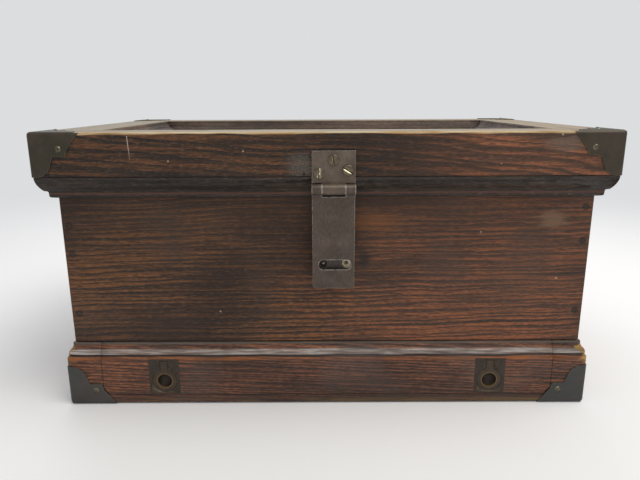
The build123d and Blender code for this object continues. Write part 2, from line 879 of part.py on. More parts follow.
for name, x in pull_places.items():
    face = pull_plane(x)
    with BuildPart() as pull_plate:
        slab(
            (x - pull_plate_width / 2, plinth_face, plate_low),
            (x + pull_plate_width / 2, plinth_face + pull_plate_thickness, plate_low + pull_plate_height),
        )
        rod(
            (x, plinth_face + pull_recess, ring_z),
            (0, 1, 0),
            cup_radius + cup_wall,
            cup_depth + cup_floor - pull_recess,
        )
        with BuildSketch(face):
            ring_outline(ring_clearance)
        extrude(amount=-pull_recess, mode=Mode.SUBTRACT)
        slab(
            (x - ring_neck / 2 - ring_clearance, plinth_face, ring_pin_z),
            (
                x + ring_neck / 2 + ring_clearance,
                plinth_face + pull_recess,
                ring_pin_z + ring_barrel + ring_clearance,
            ),
            mode=Mode.SUBTRACT,
        )
        with BuildSketch(Plane(origin=(x, plinth_face, ring_z), x_dir=(1, 0, 0), z_dir=(0, 0, 1))):
            with BuildLine():
                Polyline((0, cup_depth), (0, 0), (cup_radius, 0), (cup_radius, pull_recess))
                bowl_radius, bowl_angle = spherical(cup_radius, cup_depth - pull_recess)
                CenterArc((0, cup_depth - bowl_radius), bowl_radius, 90, -bowl_angle)
            make_face()
        revolve(axis=Axis((x, plinth_face, ring_z), (0, 1, 0)), mode=Mode.SUBTRACT)
        rod(
            (x - ring_pin_length / 2, ring_pin_y, ring_pin_z),
            (1, 0, 0),
            ring_pin + pressed,
            ring_pin_length,
            mode=Mode.SUBTRACT,
        )
    keep(pull_plate, f"pull_plate_{name}")

    with BuildPart() as pull_ring:
        with BuildSketch(face.offset(-(pull_recess - ring_thickness) / 2)):
            ring_outline(0)
            Circle(ring_inner, mode=Mode.SUBTRACT)
        extrude(amount=-ring_thickness)
        rod((x - ring_neck / 2, ring_pin_y, ring_pin_z), (1, 0, 0), ring_barrel, ring_neck)
        rod(
            (x - ring_neck / 2, ring_pin_y, ring_pin_z),
            (1, 0, 0),
            ring_pin + running,
            ring_neck,
            mode=Mode.SUBTRACT,
        )
    keep(pull_ring, f"pull_ring_{name}")

with BuildPart() as pull_pins:
    for x in pull_places.values():
        rod((x - ring_pin_length / 2, ring_pin_y, ring_pin_z), (1, 0, 0), ring_pin, ring_pin_length)
keep(pull_pins, "pull_pins")

# ---------------------------------------------------------------- hasp
hasp_low_x = hasp_centre - hasp_width / 2
hasp_high_x = hasp_centre + hasp_width / 2
middle_low = hasp_centre - hasp_middle / 2
middle_high = hasp_centre + hasp_middle / 2
screw_planes = [
    Plane(origin=(hasp_centre + across, lid_face, hasp_plate_top - drop), z_dir=(0, 1, 0))
    for across, drop, turn in hasp_screws_at
]

with BuildPart() as hasp_plate:
    slab(
        (hasp_low_x, lid_face - hasp_thickness, hasp_pin_z + hasp_knuckle + knuckle_gap),
        (hasp_high_x, lid_face, hasp_plate_top),
    )
    fillet(hasp_plate.faces().sort_by(Axis.Y)[0].edges(), hasp_edge_round)
    slab(
        (middle_low, lid_face - hasp_thickness, hasp_pin_z),
        (middle_high, lid_face, hasp_pin_z + hasp_knuckle + hasp_strap_reach),
    )
    rod((middle_low, hasp_pin_y, hasp_pin_z), (1, 0, 0), hasp_knuckle, hasp_middle)
    rod(
        (middle_low, hasp_pin_y, hasp_pin_z), (1, 0, 0), hasp_pin + pressed, hasp_middle, mode=Mode.SUBTRACT
    )
    drill([plane.offset(-hasp_thickness) for plane in screw_planes], hasp_screw_shank + drilled, hasp_thickness)
keep(hasp_plate, "hasp_plate")

with BuildPart() as hasp_leaf:
    slab(
        (hasp_low_x, lid_face - hasp_thickness, hasp_pin_z - hasp_drop),
        (hasp_high_x, lid_face, hasp_pin_z - hasp_knuckle - knuckle_gap),
    )
    foot = hasp_leaf.edges().filter_by(Axis.Y).group_by(Axis.Z)[0]
    fillet(foot, hasp_corner)
    fillet(hasp_leaf.faces().sort_by(Axis.Y)[0].edges(), hasp_edge_round)
    for start, end in ((hasp_low_x, middle_low - knuckle_gap), (middle_high + knuckle_gap, hasp_high_x)):
        slab(
            (start, lid_face - hasp_thickness, hasp_pin_z - hasp_knuckle - hasp_strap_reach),
            (end, lid_face, hasp_pin_z),
        )
        rod((start, hasp_pin_y, hasp_pin_z), (1, 0, 0), hasp_knuckle, end - start)
    slab(
        (middle_low - knuckle_gap, lid_face - hasp_thickness, hasp_pin_z - hasp_knuckle - hasp_notch),
        (middle_high + knuckle_gap, lid_face, hasp_pin_z - hasp_knuckle),
        mode=Mode.SUBTRACT,
    )
    rod((hasp_low_x, hasp_pin_y, hasp_pin_z), (1, 0, 0), hasp_pin + running, hasp_width, mode=Mode.SUBTRACT)
    with BuildSketch(Plane(origin=(slot_x, lid_face, slot_z), x_dir=(1, 0, 0), z_dir=(0, -1, 0))):
        RectangleRounded(hasp_slot_length, hasp_slot_height, hasp_slot_corner)
    extrude(amount=hasp_thickness, mode=Mode.SUBTRACT)
keep(hasp_leaf, "hasp_leaf")

with BuildPart() as hasp_pin_piece:
    rod((hasp_low_x, hasp_pin_y, hasp_pin_z), (1, 0, 0), hasp_pin, hasp_width)
keep(hasp_pin_piece, "hasp_pin")

with BuildPart() as slotted_screw:
    Cylinder(hasp_screw_head, hasp_screw_dome, align=(Align.CENTER, Align.CENTER, Align.MAX))
    fillet(slotted_screw.faces().sort_by(Axis.Z)[0].edges(), hasp_screw_round)
    with Locations((0, 0, -hasp_screw_dome)):
        Box(2 * hasp_screw_head, screw_slot_width, 2 * screw_slot_depth, mode=Mode.SUBTRACT)
    shank_length = hasp_screw_length + hasp_thickness
    Cylinder(hasp_screw_shank, shank_length, align=(Align.CENTER, Align.CENTER, Align.MIN))

with BuildPart() as hasp_screws:
    for plane, (across, drop, turn) in zip(screw_planes, hasp_screws_at):
        with Locations(plane.offset(-hasp_thickness).location * Location((0, 0, 0), (0, 0, turn))):
            add(slotted_screw.part)
keep(hasp_screws, "hasp_screws")

# ---------------------------------------------------------------- lid
for name, (run, length) in side_runs(lid_width, lid_depth, lid_bottom).items():
    moulded_rail = moulded_run(run, length, lid_rail, lid_height, lid_rail_profile)
    with BuildPart() as rail:
        add(moulded_rail.part)
        add(lid_block, mode=Mode.INTERSECT)
        drill(lid_nail_planes, cap_nail_shank + drilled, cap_nail_length + drill_allowance)
        if name == "back":
            hinge_pocket(1)
        if name == "front":
            drill(screw_planes, hasp_screw_shank + drilled, hasp_screw_length + drill_allowance)
    keep(rail, f"lid_frame_{name}")

opening_width = lid_width - 2 * lid_rail
opening_depth = lid_depth - 2 * lid_rail
for name, (run, length) in side_runs(opening_width, opening_depth, panel_top).items():
    keep(moulded_run(run, length, moulding_width, lid_flange, panel_moulding_profile), f"lid_moulding_{name}")

with BuildPart() as lid_panel:
    half_width = lid_width / 2 - lid_wall - panel_gap
    half_depth = lid_depth / 2 - lid_wall - panel_gap
    slab((-half_width, -half_depth, panel_top - lid_panel_thickness), (half_width, half_depth, panel_top))
keep(lid_panel, "lid_panel")
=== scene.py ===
# %% [markdown]
# A small dark softwood chest: a framed lid with brass-capped corners, a moulded plinth that hides a
# drawer, two flush ring pulls and a steel hasp. This notebook loads the chest's exact shape, rebuilds
# every piece that shows so that its edges are rounded and worn, and paints each one with a finish
# made from maths, without any picture.

# %% Load the chest
import bpy
import json
import math
from mathutils import Matrix, Vector

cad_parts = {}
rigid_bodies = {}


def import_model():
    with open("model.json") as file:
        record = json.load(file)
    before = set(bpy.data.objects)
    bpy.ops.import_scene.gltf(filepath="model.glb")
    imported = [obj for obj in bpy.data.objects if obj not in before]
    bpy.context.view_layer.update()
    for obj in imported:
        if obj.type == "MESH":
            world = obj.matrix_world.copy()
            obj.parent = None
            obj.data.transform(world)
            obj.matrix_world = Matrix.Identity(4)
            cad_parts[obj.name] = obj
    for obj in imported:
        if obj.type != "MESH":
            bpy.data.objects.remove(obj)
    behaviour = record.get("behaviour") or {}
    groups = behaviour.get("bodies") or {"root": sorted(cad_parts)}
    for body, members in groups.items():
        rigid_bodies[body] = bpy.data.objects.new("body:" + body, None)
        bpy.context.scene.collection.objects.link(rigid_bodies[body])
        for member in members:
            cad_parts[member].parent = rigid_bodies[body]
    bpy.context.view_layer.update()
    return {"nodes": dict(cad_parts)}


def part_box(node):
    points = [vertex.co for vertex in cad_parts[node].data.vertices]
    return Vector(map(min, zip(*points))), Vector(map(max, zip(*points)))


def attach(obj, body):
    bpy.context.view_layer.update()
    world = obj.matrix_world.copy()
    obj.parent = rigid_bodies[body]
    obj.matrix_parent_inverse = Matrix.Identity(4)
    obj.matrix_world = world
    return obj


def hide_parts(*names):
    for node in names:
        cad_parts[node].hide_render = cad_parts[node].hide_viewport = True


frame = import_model()
MM = 0.001
lid_low = Vector(map(min, *[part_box(f"lid_frame_{side}")[0] for side in ("front", "back", "left", "right")]))
lid_high = Vector(map(max, *[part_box(f"lid_frame_{side}")[1] for side in ("front", "back", "left", "right")]))
case_low, case_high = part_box("front_board")
base_low, base_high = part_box("base_block_left")

# %% [markdown]
# The camera stands a little above the lid, square on to the front, as somebody would look at a box
# on a table. It leans a fifth of a degree, because a camera held in the hand is never quite level.
# The lens is a moderate wide angle, so the sides of the lid run visibly together towards the back.

# %% Camera
SENSOR = 36.0
LENS = 31.55
LOOK_DOWN = math.radians(13.95)
LEAN = math.radians(-0.22)
EYE = Vector((-0.0061, -0.6419, 0.2830))
camera_data = bpy.data.cameras.new("camera")
camera_data.sensor_width = SENSOR
camera_data.lens = LENS
camera = bpy.data.objects.new("camera", camera_data)
bpy.context.scene.collection.objects.link(camera)
bpy.context.scene.camera = camera
forward = Vector((0, math.cos(LOOK_DOWN), -math.sin(LOOK_DOWN)))
level_right = Vector((1, 0, 0))
level_up = level_right.cross(forward)
right = level_right * math.cos(LEAN) + level_up * math.sin(LEAN)
up = level_up * math.cos(LEAN) - level_right * math.sin(LEAN)
camera.matrix_world = Matrix((right, up, -forward)).transposed().to_4x4()
camera.location = EYE
print("camera at", [round(v, 3) for v in camera.location], "metres")

# %% [markdown]
# Finishes are written as sums. A Signal wraps one shader socket, and adding or multiplying two of
# them places a Math node, so that a line of Python reads like the formula it stands for. Colours go
# through their own mixer, because a Math node would turn them grey.

# %% Shader arithmetic
class Signal:
    """A number that varies over a surface. Every operator adds a Math node."""

    def __init__(self, tree, socket):
        self.tree = tree
        self.socket = socket

    def math(self, operation, *others, swap=False):
        node = self.tree.nodes.new("ShaderNodeMath")
        node.operation = operation
        terms = [self, *others][::-1] if swap else [self, *others]
        for slot, term in zip(node.inputs, terms):
            if isinstance(term, Signal):
                self.tree.links.new(term.socket, slot)
            else:
                slot.default_value = term
        return Signal(self.tree, node.outputs[0])

    def __add__(self, other):
        return self.math("ADD", other)

    def __sub__(self, other):
        return self.math("SUBTRACT", other)

    def __rsub__(self, other):
        return self.math("SUBTRACT", other, swap=True)

    def __mul__(self, other):
        return self.math("MULTIPLY", other)

    def __truediv__(self, other):
        return self.math("DIVIDE", other)

    def __pow__(self, other):
        return self.math("POWER", other)

    def __lt__(self, other):
        return self.math("LESS_THAN", other)

    def __gt__(self, other):
        return self.math("GREATER_THAN", other)

    def __abs__(self):
        return self.math("ABSOLUTE")

    __radd__ = __add__
    __rmul__ = __mul__


def paint(code):
    """A colour written as on a paint chart, #rrggbb, as Blender's linear numbers."""
    parts = [int(code[i : i + 2], 16) / 255 for i in (1, 3, 5)]
    linear = [c / 12.92 if c <= 0.04045 else ((c + 0.055) / 1.055) ** 2.4 for c in parts]
    return (*linear, 1.0)


class Finish:
    """A material under construction."""

    def __init__(self, name):
        self.material = bpy.data.materials.new(name)
        self.material.use_nodes = True
        self.tree = self.material.node_tree
        self.tree.nodes.clear()
        self.place = self.node("ShaderNodeTexCoord", {}, {}, "Object")
        parts = self.node("ShaderNodeSeparateXYZ", {}, {"Vector": self.place}, None)
        self.x, self.y, self.z = [Signal(self.tree, parts.outputs[axis]) for axis in "XYZ"]

    def node(self, kind, settings, inputs, output=0):
        """Any node: its settings first, then the values or links of its sockets."""
        node = self.tree.nodes.new(kind)
        for key, value in settings.items():
            setattr(node, key, value)
        for key, value in inputs.items():
            socket = node.inputs[key]
            if isinstance(value, Signal):
                self.tree.links.new(value.socket, socket)
            else:
                socket.default_value = value
        return node if output is None else Signal(self.tree, node.outputs[output])

    def vector(self, x, y, z):
        return self.node("ShaderNodeCombineXYZ", {}, {"X": x, "Y": y, "Z": z})

    def noise(self, vector, scale=1.0, detail=2.0, rough=0.5):
        """Soft random values from 0 to 1."""
        sockets = {"Vector": vector, "Scale": scale, "Detail": detail, "Roughness": rough}
        return self.node("ShaderNodeTexNoise", {}, sockets, "Fac")

    def drawn_noise(self, wide, deep, tall, detail=3.0, rough=0.5):
        """Noise with its own scale along each axis, which draws its spots out."""
        return self.noise(self.vector(self.x * wide, self.y * deep, self.z * tall), 1.0, detail, rough)

    def step(self, value, low, high):
        """0 below low, 1 above high, smooth between."""
        sockets = {"Value": value, "From Min": low, "From Max": high}
        return self.node("ShaderNodeMapRange", {"interpolation_type": "SMOOTHSTEP"}, sockets, "Result")

    def mix(self, factor, a, b):
        """From colour a to colour b as the factor goes from 0 to 1."""
        settings = {"data_type": "RGBA", "blend_type": "MIX", "clamp_factor": True}
        return self.node("ShaderNodeMix", settings, {0: factor, 6: a, 7: b}, 2)

    def patch(self, x, z, wide, tall, ragged=0.5):
        """A ragged-edged spot on the front, 1 in its middle."""
        across = (self.x - x) / (wide / 2)
        upright = (self.z - z) / (tall / 2)
        edge = self.drawn_noise(60.0, 300.0, 420.0, 4.0, 0.65) - 0.5
        distance = (across * across + upright * upright) ** 0.5 + edge * (3 * ragged)
        return 1 - self.step(distance, 0.25, 1.15)

    def bump(self, height, distance, strength=1.0):
        return self.node(
            "ShaderNodeBump", {}, {"Height": height, "Distance": distance, "Strength": strength}, "Normal"
        )

    def surface(self, colour, roughness, metallic=0.0, normal=None, constants=()):
        """Close the material with one Principled shader."""
        inputs = {"Base Color": colour, "Roughness": roughness, "Metallic": metallic}
        if normal is not None:
            inputs["Normal"] = normal
        inputs.update(constants)
        shader = self.node("ShaderNodeBsdfPrincipled", {}, inputs)
        self.node("ShaderNodeOutputMaterial", {}, {"Surface": shader}, None)
        return self.material


print("shader helpers ready")

# %% [markdown]
# The chest is resinous softwood, stained dark and then handled for a century. In such wood each
# year's growth is a soft pale band that ends in a hard dark line. The bands are shells around the
# heart of the tree, so the pattern here is the distance from a line far outside the board, bent by
# slow noise. The stain sank into the soft wood, hands polished it away again, and the hard lines
# stand a little proud. The same recipe serves every board, with its own direction of grain.

# %% Softwood recipe
def grain_frame(finish, grain):
    """Coordinates along the grain, up the board and through it."""
    if grain == "x":
        return finish.x, finish.z, finish.y
    if grain == "y":
        return finish.y, finish.z, finish.x
    return finish.z, finish.x, finish.y


def growth(finish, grain, ring, heart, sway, twist=0.0):
    """How far through a year's ring each point lies, and the number of that ring."""
    along, across, through = grain_frame(finish, grain)
    slow = finish.vector(along * 3.1, across * 8.0, through * 8.0)
    quick = finish.vector(along * 17.0, across * 70.0, through * 70.0)
    bend = (finish.noise(slow, 1.0, 2.0) - 0.5) * sway + (finish.noise(quick, 1.0, 3.0) - 0.5) * (ring * 1.7)
    up_from = across + bend + along * twist - heart[0]
    out_from = through + bend * 0.4 - heart[1]
    radius = (up_from * up_from + out_from * out_from) ** 0.5
    uneven = finish.noise(finish.vector(radius * 70.0, along * 1.2, 0.0), 1.0, 3.0)
    count = radius / ring + uneven * 3.4
    return count.math("FRACT"), count.math("FLOOR")


def softwood(finish, grain, ring, heart, sway, soft, glow, hard, twist=0.0):
    """Colour, roughness, height and hard lines of stained softwood.

    ring is the width of a year's growth, heart says where the tree's heart lies above and behind
    the board, in metres, sway is how far the lines wander, and twist how much they climb.
    """
    along, across, through = grain_frame(finish, grain)
    part, number = growth(finish, grain, ring, heart, sway, twist)
    year = finish.node("ShaderNodeTexWhiteNoise", {"noise_dimensions": "1D"}, {"W": number}, "Value")
    late = finish.step(part, 0.50, 0.84) - finish.step(part, 0.90, 0.99)
    fade = finish.noise(finish.vector(along * 9.0, across * 90.0, through * 90.0), 1.0, 3.0)
    late = late * (0.55 + 0.6 * year) * (0.35 + 0.65 * finish.step(fade, 0.34, 0.58))
    fibre = finish.noise(finish.vector(along * 190.0, across * 1000.0, through * 1000.0), 1.0, 3.0, 0.6)
    dash = finish.noise(finish.vector(along * 85.0, across * 800.0, through * 800.0), 1.0, 2.0)
    streak = finish.noise(finish.vector(along * 10.0, across * 330.0, through * 330.0), 1.0, 4.0, 0.6)
    cloud = finish.noise(finish.vector(along * 7.0, across * 17.0, through * 17.0), 1.0, 4.0)
    early = finish.step(1 - part, 0.25, 0.85)
    lit = finish.step(streak * 0.75 + cloud * 0.45 + early * 0.14, 0.58, 0.84)
    colour = finish.mix(lit, soft, glow)
    colour = finish.mix(late * 0.95, colour, hard)
    colour = finish.mix(finish.step(dash, 0.50, 0.66) * 0.6, colour, hard)
    colour = finish.mix(finish.step(fibre, 0.48, 0.62) * 0.42, colour, hard)
    colour = finish.mix((1 - finish.step(fibre, 0.34, 0.44)) * 0.16, colour, paint("#b89a80"))
    grime = finish.step(cloud, 0.34, 0.60)
    colour = finish.mix((1 - grime) * 0.45, colour, hard)
    roughness = 0.60 - 0.14 * late + 0.1 * (1 - grime)
    height = late * 0.6 + fibre * 0.2 + dash * 0.3
    return colour, roughness, height, late


def flecks(finish, density, size):
    """Tiny nicks scattered at random, 1 inside each."""
    sockets = {"Vector": finish.place, "Scale": density}
    cell = finish.node("ShaderNodeTexVoronoi", {"feature": "F1"}, sockets, None)
    distance = Signal(finish.tree, cell.outputs["Distance"])
    chosen = finish.node("ShaderNodeSeparateColor", {}, {0: Signal(finish.tree, cell.outputs["Color"])}, 0)
    ragged = finish.drawn_noise(500.0, 900.0, 1500.0, 2.0)
    return finish.step(ragged - distance / (size * density) * 0.5, 0.0, 0.12) * (chosen > 0.72)


def arris(finish):
    """1 where a piece's edge has been rounded over, from its own attribute."""
    return finish.node("ShaderNodeAttribute", {"attribute_name": "arris"}, {}, "Fac")


PALE = paint("#cdb48c")
print("softwood recipe ready")

# %% [markdown]
# Case and lid share one tree but not one board. The lid's front was sawn near the bark, so its lines
# sweep in long curves; the case's front was sawn straighter and its lines lie level and close. The
# side boards run front to back. On the lid the top arris is painted pale, partly rubbed bare wood and
# partly painted highlight, and the top faces carry a painted grey sheen. There is a pale scratch near
# the left corner, and a grey bruise beside the hasp where something once rubbed. Case and lid are
# painted brighter and redder towards the right as painted light, and the case darker towards its top
# as painted shade under the cornice.

# %% Case and lid wood
NAIL_ROWS = ((-232 * MM, (90 * MM, 148 * MM, 174 * MM)), (232 * MM, (92 * MM, 159 * MM, 190 * MM)))
# Marks on the case front: middle x and z, width, height, raggedness, strength, colour.
CASE_MARKS = (
    (44 * MM, 178 * MM, 62 * MM, 24 * MM, 0.8, 0.4, "#91592c"),
    (203 * MM, 179 * MM, 36 * MM, 22 * MM, 0.8, 0.65, "#80644e"),
    (34 * MM, 143 * MM, 14 * MM, 22 * MM, 0.7, 0.8, "#2b2523"),
)
HOLE_SPREAD = 20.4 * MM  # from one leg hole of the staple to the other
HOLE_EDGE = (3.4 * MM, 4.0 * MM)


def ring_out(finish, x, z):
    """How far each point lies from a line through x and z, front to back."""
    return ((finish.x - x) ** 2.0 + (finish.z - z) ** 2.0) ** 0.5


def nail_stains(finish, colour):
    """A dark rust ring in the wood round each nail of the front and back."""
    for x, heights in NAIL_ROWS:
        for z in heights:
            stain = 1 - finish.step(ring_out(finish, x, z), 1.8 * MM, 4.6 * MM)
            colour = finish.mix(stain * 0.75, colour, paint("#211a17"))
    return colour


def case_finish(name, grain, heart, sway, twist=0.0, nails=False):
    """Stained softwood of the case, a little redder and brighter towards the bottom, with painted light and
    shade: brighter, redder and sheened towards the right, and darker towards the top as painted shade under
    the cornice.
    """
    finish = Finish(name)
    # painted light: the right side is painted brighter and redder, as lit from the right
    bright = finish.step(finish.x, -0.08, 0.12)
    soft = finish.mix(bright, paint("#4a3427"), paint("#573c2f"))
    glow = finish.mix(bright, paint("#7e522f"), paint("#985a38"))
    hard = paint("#271d19")
    colour, roughness, height, late = softwood(finish, grain, 4.3 * MM, heart, sway, soft, glow, hard, twist)
    # painted shade: darker towards the top, as in the shadow of the cornice
    painted_cornice_shade = finish.step(finish.z, case_low.z, case_high.z)
    colour = finish.mix((painted_cornice_shade - 0.2) * 0.6, colour, paint("#36251b"))
    smoke = finish.noise(finish.place, 19.0, 3.0)
    colour = finish.mix(finish.step(smoke, 0.46, 0.70) * 0.45, colour, paint("#453730"))
    # painted sheen on the right side
    colour = finish.mix(bright * 0.06, colour, paint("#94705a"))
    nick = flecks(finish, 42.0, 1.2 * MM)
    colour = finish.mix(nick * 0.5, colour, PALE)
    if nails:
        colour = nail_stains(finish, colour)
        for *spot, strength, tint in CASE_MARKS:
            colour = finish.mix(finish.patch(*spot) * strength, colour, paint(tint))
    scuff = finish.noise(finish.place, 210.0, 3.0)
    rubbed = arris(finish) * finish.step(scuff, 0.4, 0.62)
    colour = finish.mix(rubbed * 0.6, colour, paint("#7d5f3a"))
    return finish, colour, roughness, height


def close_wood(finish, colour, roughness, height, relief=0.4 * MM):
    """Close a wooden finish, its hard lines standing proud."""
    normal = finish.bump(height, relief, 0.7)
    return finish.surface(colour, roughness, 0.0, normal, {"Specular IOR Level": 0.36})


case_front = close_wood(*case_finish("case_front", "x", (-0.35, 0.02), 14 * MM, -0.025, True))
case_back = close_wood(*case_finish("case_back", "x", (0.62, -0.05), 22 * MM, -0.02))
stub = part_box("staple_leg")
stub_x, stub_z = (stub[0].x + stub[1].x) / 2, (stub[0].z + stub[1].z) / 2
finish, colour, roughness, height = case_finish("pad_wood", "z", (-0.2, 0.02), 10 * MM)
# the empty right leg hole is painted near white: pale raw wood, brightened as painted light against the shade
# in the hole
from_hole = ring_out(finish, stub_x + HOLE_SPREAD, stub_z)
colour = finish.mix((1 - finish.step(from_hole, *HOLE_EDGE)) * 0.95, colour, paint("#efe4cc"))
# painted shade: the hole round the broken leg is painted near black
from_leg = ring_out(finish, stub_x, stub_z)
colour = finish.mix((1 - finish.step(from_leg, *HOLE_EDGE)) * 0.9, colour, paint("#16120f"))
pad_wood = close_wood(finish, colour, roughness, height)
case_side = close_wood(*case_finish("case_side", "y", (-0.30, 0.55), 14 * MM, -0.02))


def lid_finish(name, grain, heart, sway, twist=0.0):
    """Stained softwood of the lid frame, painted brighter, redder and sheened towards the right as painted
    light, its top arris pale, partly worn and partly painted highlight, and its top faces painted with a grey
    sheen.
    """
    finish = Finish(name)
    # painted light: the right side is painted brighter and redder, as lit from the right
    bright = finish.step(finish.x, 0.0, 0.16)
    soft = finish.mix(bright, paint("#372920"), paint("#4e382d"))
    glow = finish.mix(bright, paint("#6e472b"), paint("#9c5f3e"))
    hard = paint("#1f1815")
    colour, roughness, height, late = softwood(finish, grain, 6.8 * MM, heart, sway, soft, glow, hard, twist)
    smoke = finish.noise(finish.place, 24.0, 3.0)
    colour = finish.mix(finish.step(smoke, 0.48, 0.72) * 0.35, colour, paint("#3d322c"))
    # painted sheen on the right side
    colour = finish.mix(bright * 0.08, colour, paint("#b07a5c"))
    nick = flecks(finish, 60.0, 1 * MM)
    colour = finish.mix(nick * 0.6, colour, PALE)
    top = lid_high.z
    # the pale top arris is partly rubbed bare wood and partly painted highlight
    ragged = finish.drawn_noise(26.0, 26.0, 260.0, 3.0)
    level = finish.z + (ragged - 0.5) * (3.5 * MM)
    worn = finish.step(level, top - 2.0 * MM, top - 0.9 * MM)
    rub = finish.drawn_noise(24.0, 24.0, 300.0, 4.0)
    wear_and_highlight_colour = finish.mix(finish.step(rub, 0.35, 0.65), paint("#b98d54"), paint("#e0cda6"))
    # painted sheen: the top faces behind the front strip are painted pale grey
    on_top = finish.step(finish.z, top - 0.7 * MM, top - 0.3 * MM)
    front_strip = 1 - finish.step(finish.y, lid_low.y + 4 * MM, lid_low.y + 10 * MM)
    behind = on_top * (1 - front_strip)
    colour = finish.mix(worn * (1 - behind) * 0.92, colour, wear_and_highlight_colour)
    painted_sheen = finish.mix(late * 0.6, paint("#a59a86"), paint("#5a4a3c"))
    colour = finish.mix(behind * 0.8, colour, painted_sheen)
    return finish, colour, roughness, height


# Marks on the lid's front: middle x and z, width, height and raggedness.
BRUISE = (-21.5 * MM, lid_high.z - 28.5 * MM, 34 * MM, 26 * MM, 0.35)
END_WEAR = (205 * MM, lid_high.z - 9 * MM, 46 * MM, 17 * MM, 0.6)
OLD_HOLE = (-19.5 * MM, lid_high.z - 35.5 * MM)
SCRATCH_AT = -169 * MM
SCRATCH_SLANT = 0.05

finish, colour, roughness, height = lid_finish("lid_front", "x", (0.02, -0.05), 52 * MM, 0.10)
facing = 1 - finish.step(finish.y, lid_low.y + 1 * MM, lid_low.y + 3 * MM)
bruise = finish.patch(*BRUISE) * facing
grit = finish.drawn_noise(500.0, 500.0, 900.0, 3.0, 0.7)
colour = finish.mix(bruise * (0.35 + 0.4 * finish.step(grit, 0.4, 0.6)), colour, paint("#615c56"))
colour = finish.mix(bruise * finish.step(grit, 0.60, 0.70) * 0.8, colour, paint("#9aa096"))
hole = ring_out(finish, *OLD_HOLE)
colour = finish.mix((1 - finish.step(hole, 0.8 * MM, 1.6 * MM)) * facing, colour, paint("#151110"))
line = abs(finish.x - SCRATCH_AT + (finish.z - lid_high.z) * SCRATCH_SLANT)
ticks = finish.step(finish.noise(finish.vector(0.0, 0.0, finish.z * 700.0), 1.0, 2.0), 0.3, 0.5)
scratch = (line < 0.38 * MM) * facing * ticks
scratch = scratch * (finish.z > lid_high.z - 22.5 * MM) * (finish.z < lid_high.z - 3 * MM)
fading = finish.step(finish.z, lid_high.z - 22 * MM, lid_high.z - 9 * MM)
colour = finish.mix(scratch * (0.25 + 0.5 * fading), colour, paint("#c9bcae"))
colour = finish.mix(finish.patch(*END_WEAR) * facing * 0.5, colour, paint("#7b6a5d"))
lid_front = close_wood(finish, colour, roughness, height)
finish, colour, roughness, height = lid_finish("lid_back", "x", (0.40, 0.05), 30 * MM)
lid_back = close_wood(finish, colour, roughness, height)
finish, colour, roughness, height = lid_finish("lid_side", "y", (0.44, 0.30), 20 * MM)
lid_side = close_wood(finish, colour, roughness, height)
print("case and lid finishes:", case_front.name, case_side.name, lid_front.name, lid_back.name, lid_side.name)

# %% [markdown]
# The mouldings were painted or stained almost black. The cornice has kept its colour, with a thin
# reddish line painted along its lowest edge as a painted highlight. The plinth's bead carries a painted
# grey sheen, a painted highlight broken into worn patches, the groove under it is painted dark as
# painted shade, and below that the wood shows in short streaks of red. At the outer ends of the corner
# blocks the moulding has chipped to raw yellow wood.

# %% Cornice and plinth wood
def cornice_finish(name, grain):
    """Almost black wood with a reddish line near the foot of the moulding, a painted highlight."""
    finish = Finish(name)
    tones = (paint("#3a332e"), paint("#4b3d34"), paint("#231f1c"))
    colour, roughness, height, late = softwood(finish, grain, 5.2 * MM, (0.6, 0.3), 20 * MM, *tones)
    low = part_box("cornice_front")[0].z
    # painted highlight: a reddish line along the lit lower edge of the moulding
    wander = (finish.noise(finish.vector(finish.x * 30.0, finish.y * 30.0, 0.0), 1.0, 2.0) - 0.5) * (1.2 * MM)
    lit_edge_line = 1 - finish.step(abs(finish.z + wander - (low + 4.2 * MM)), 0.3 * MM, 1.1 * MM)
    colour = finish.mix(lit_edge_line * 0.6, colour, paint("#70402c"))
    rub = finish.step(finish.noise(finish.place, 90.0, 3.0), 0.42, 0.7)
    colour = finish.mix(arris(finish) * rub * 0.7, colour, paint("#77604c"))
    return close_wood(finish, colour, roughness - 0.1, height, 0.3 * MM)


cornice_front = cornice_finish("cornice_front_wood", "x")
cornice_side = cornice_finish("cornice_side_wood", "y")


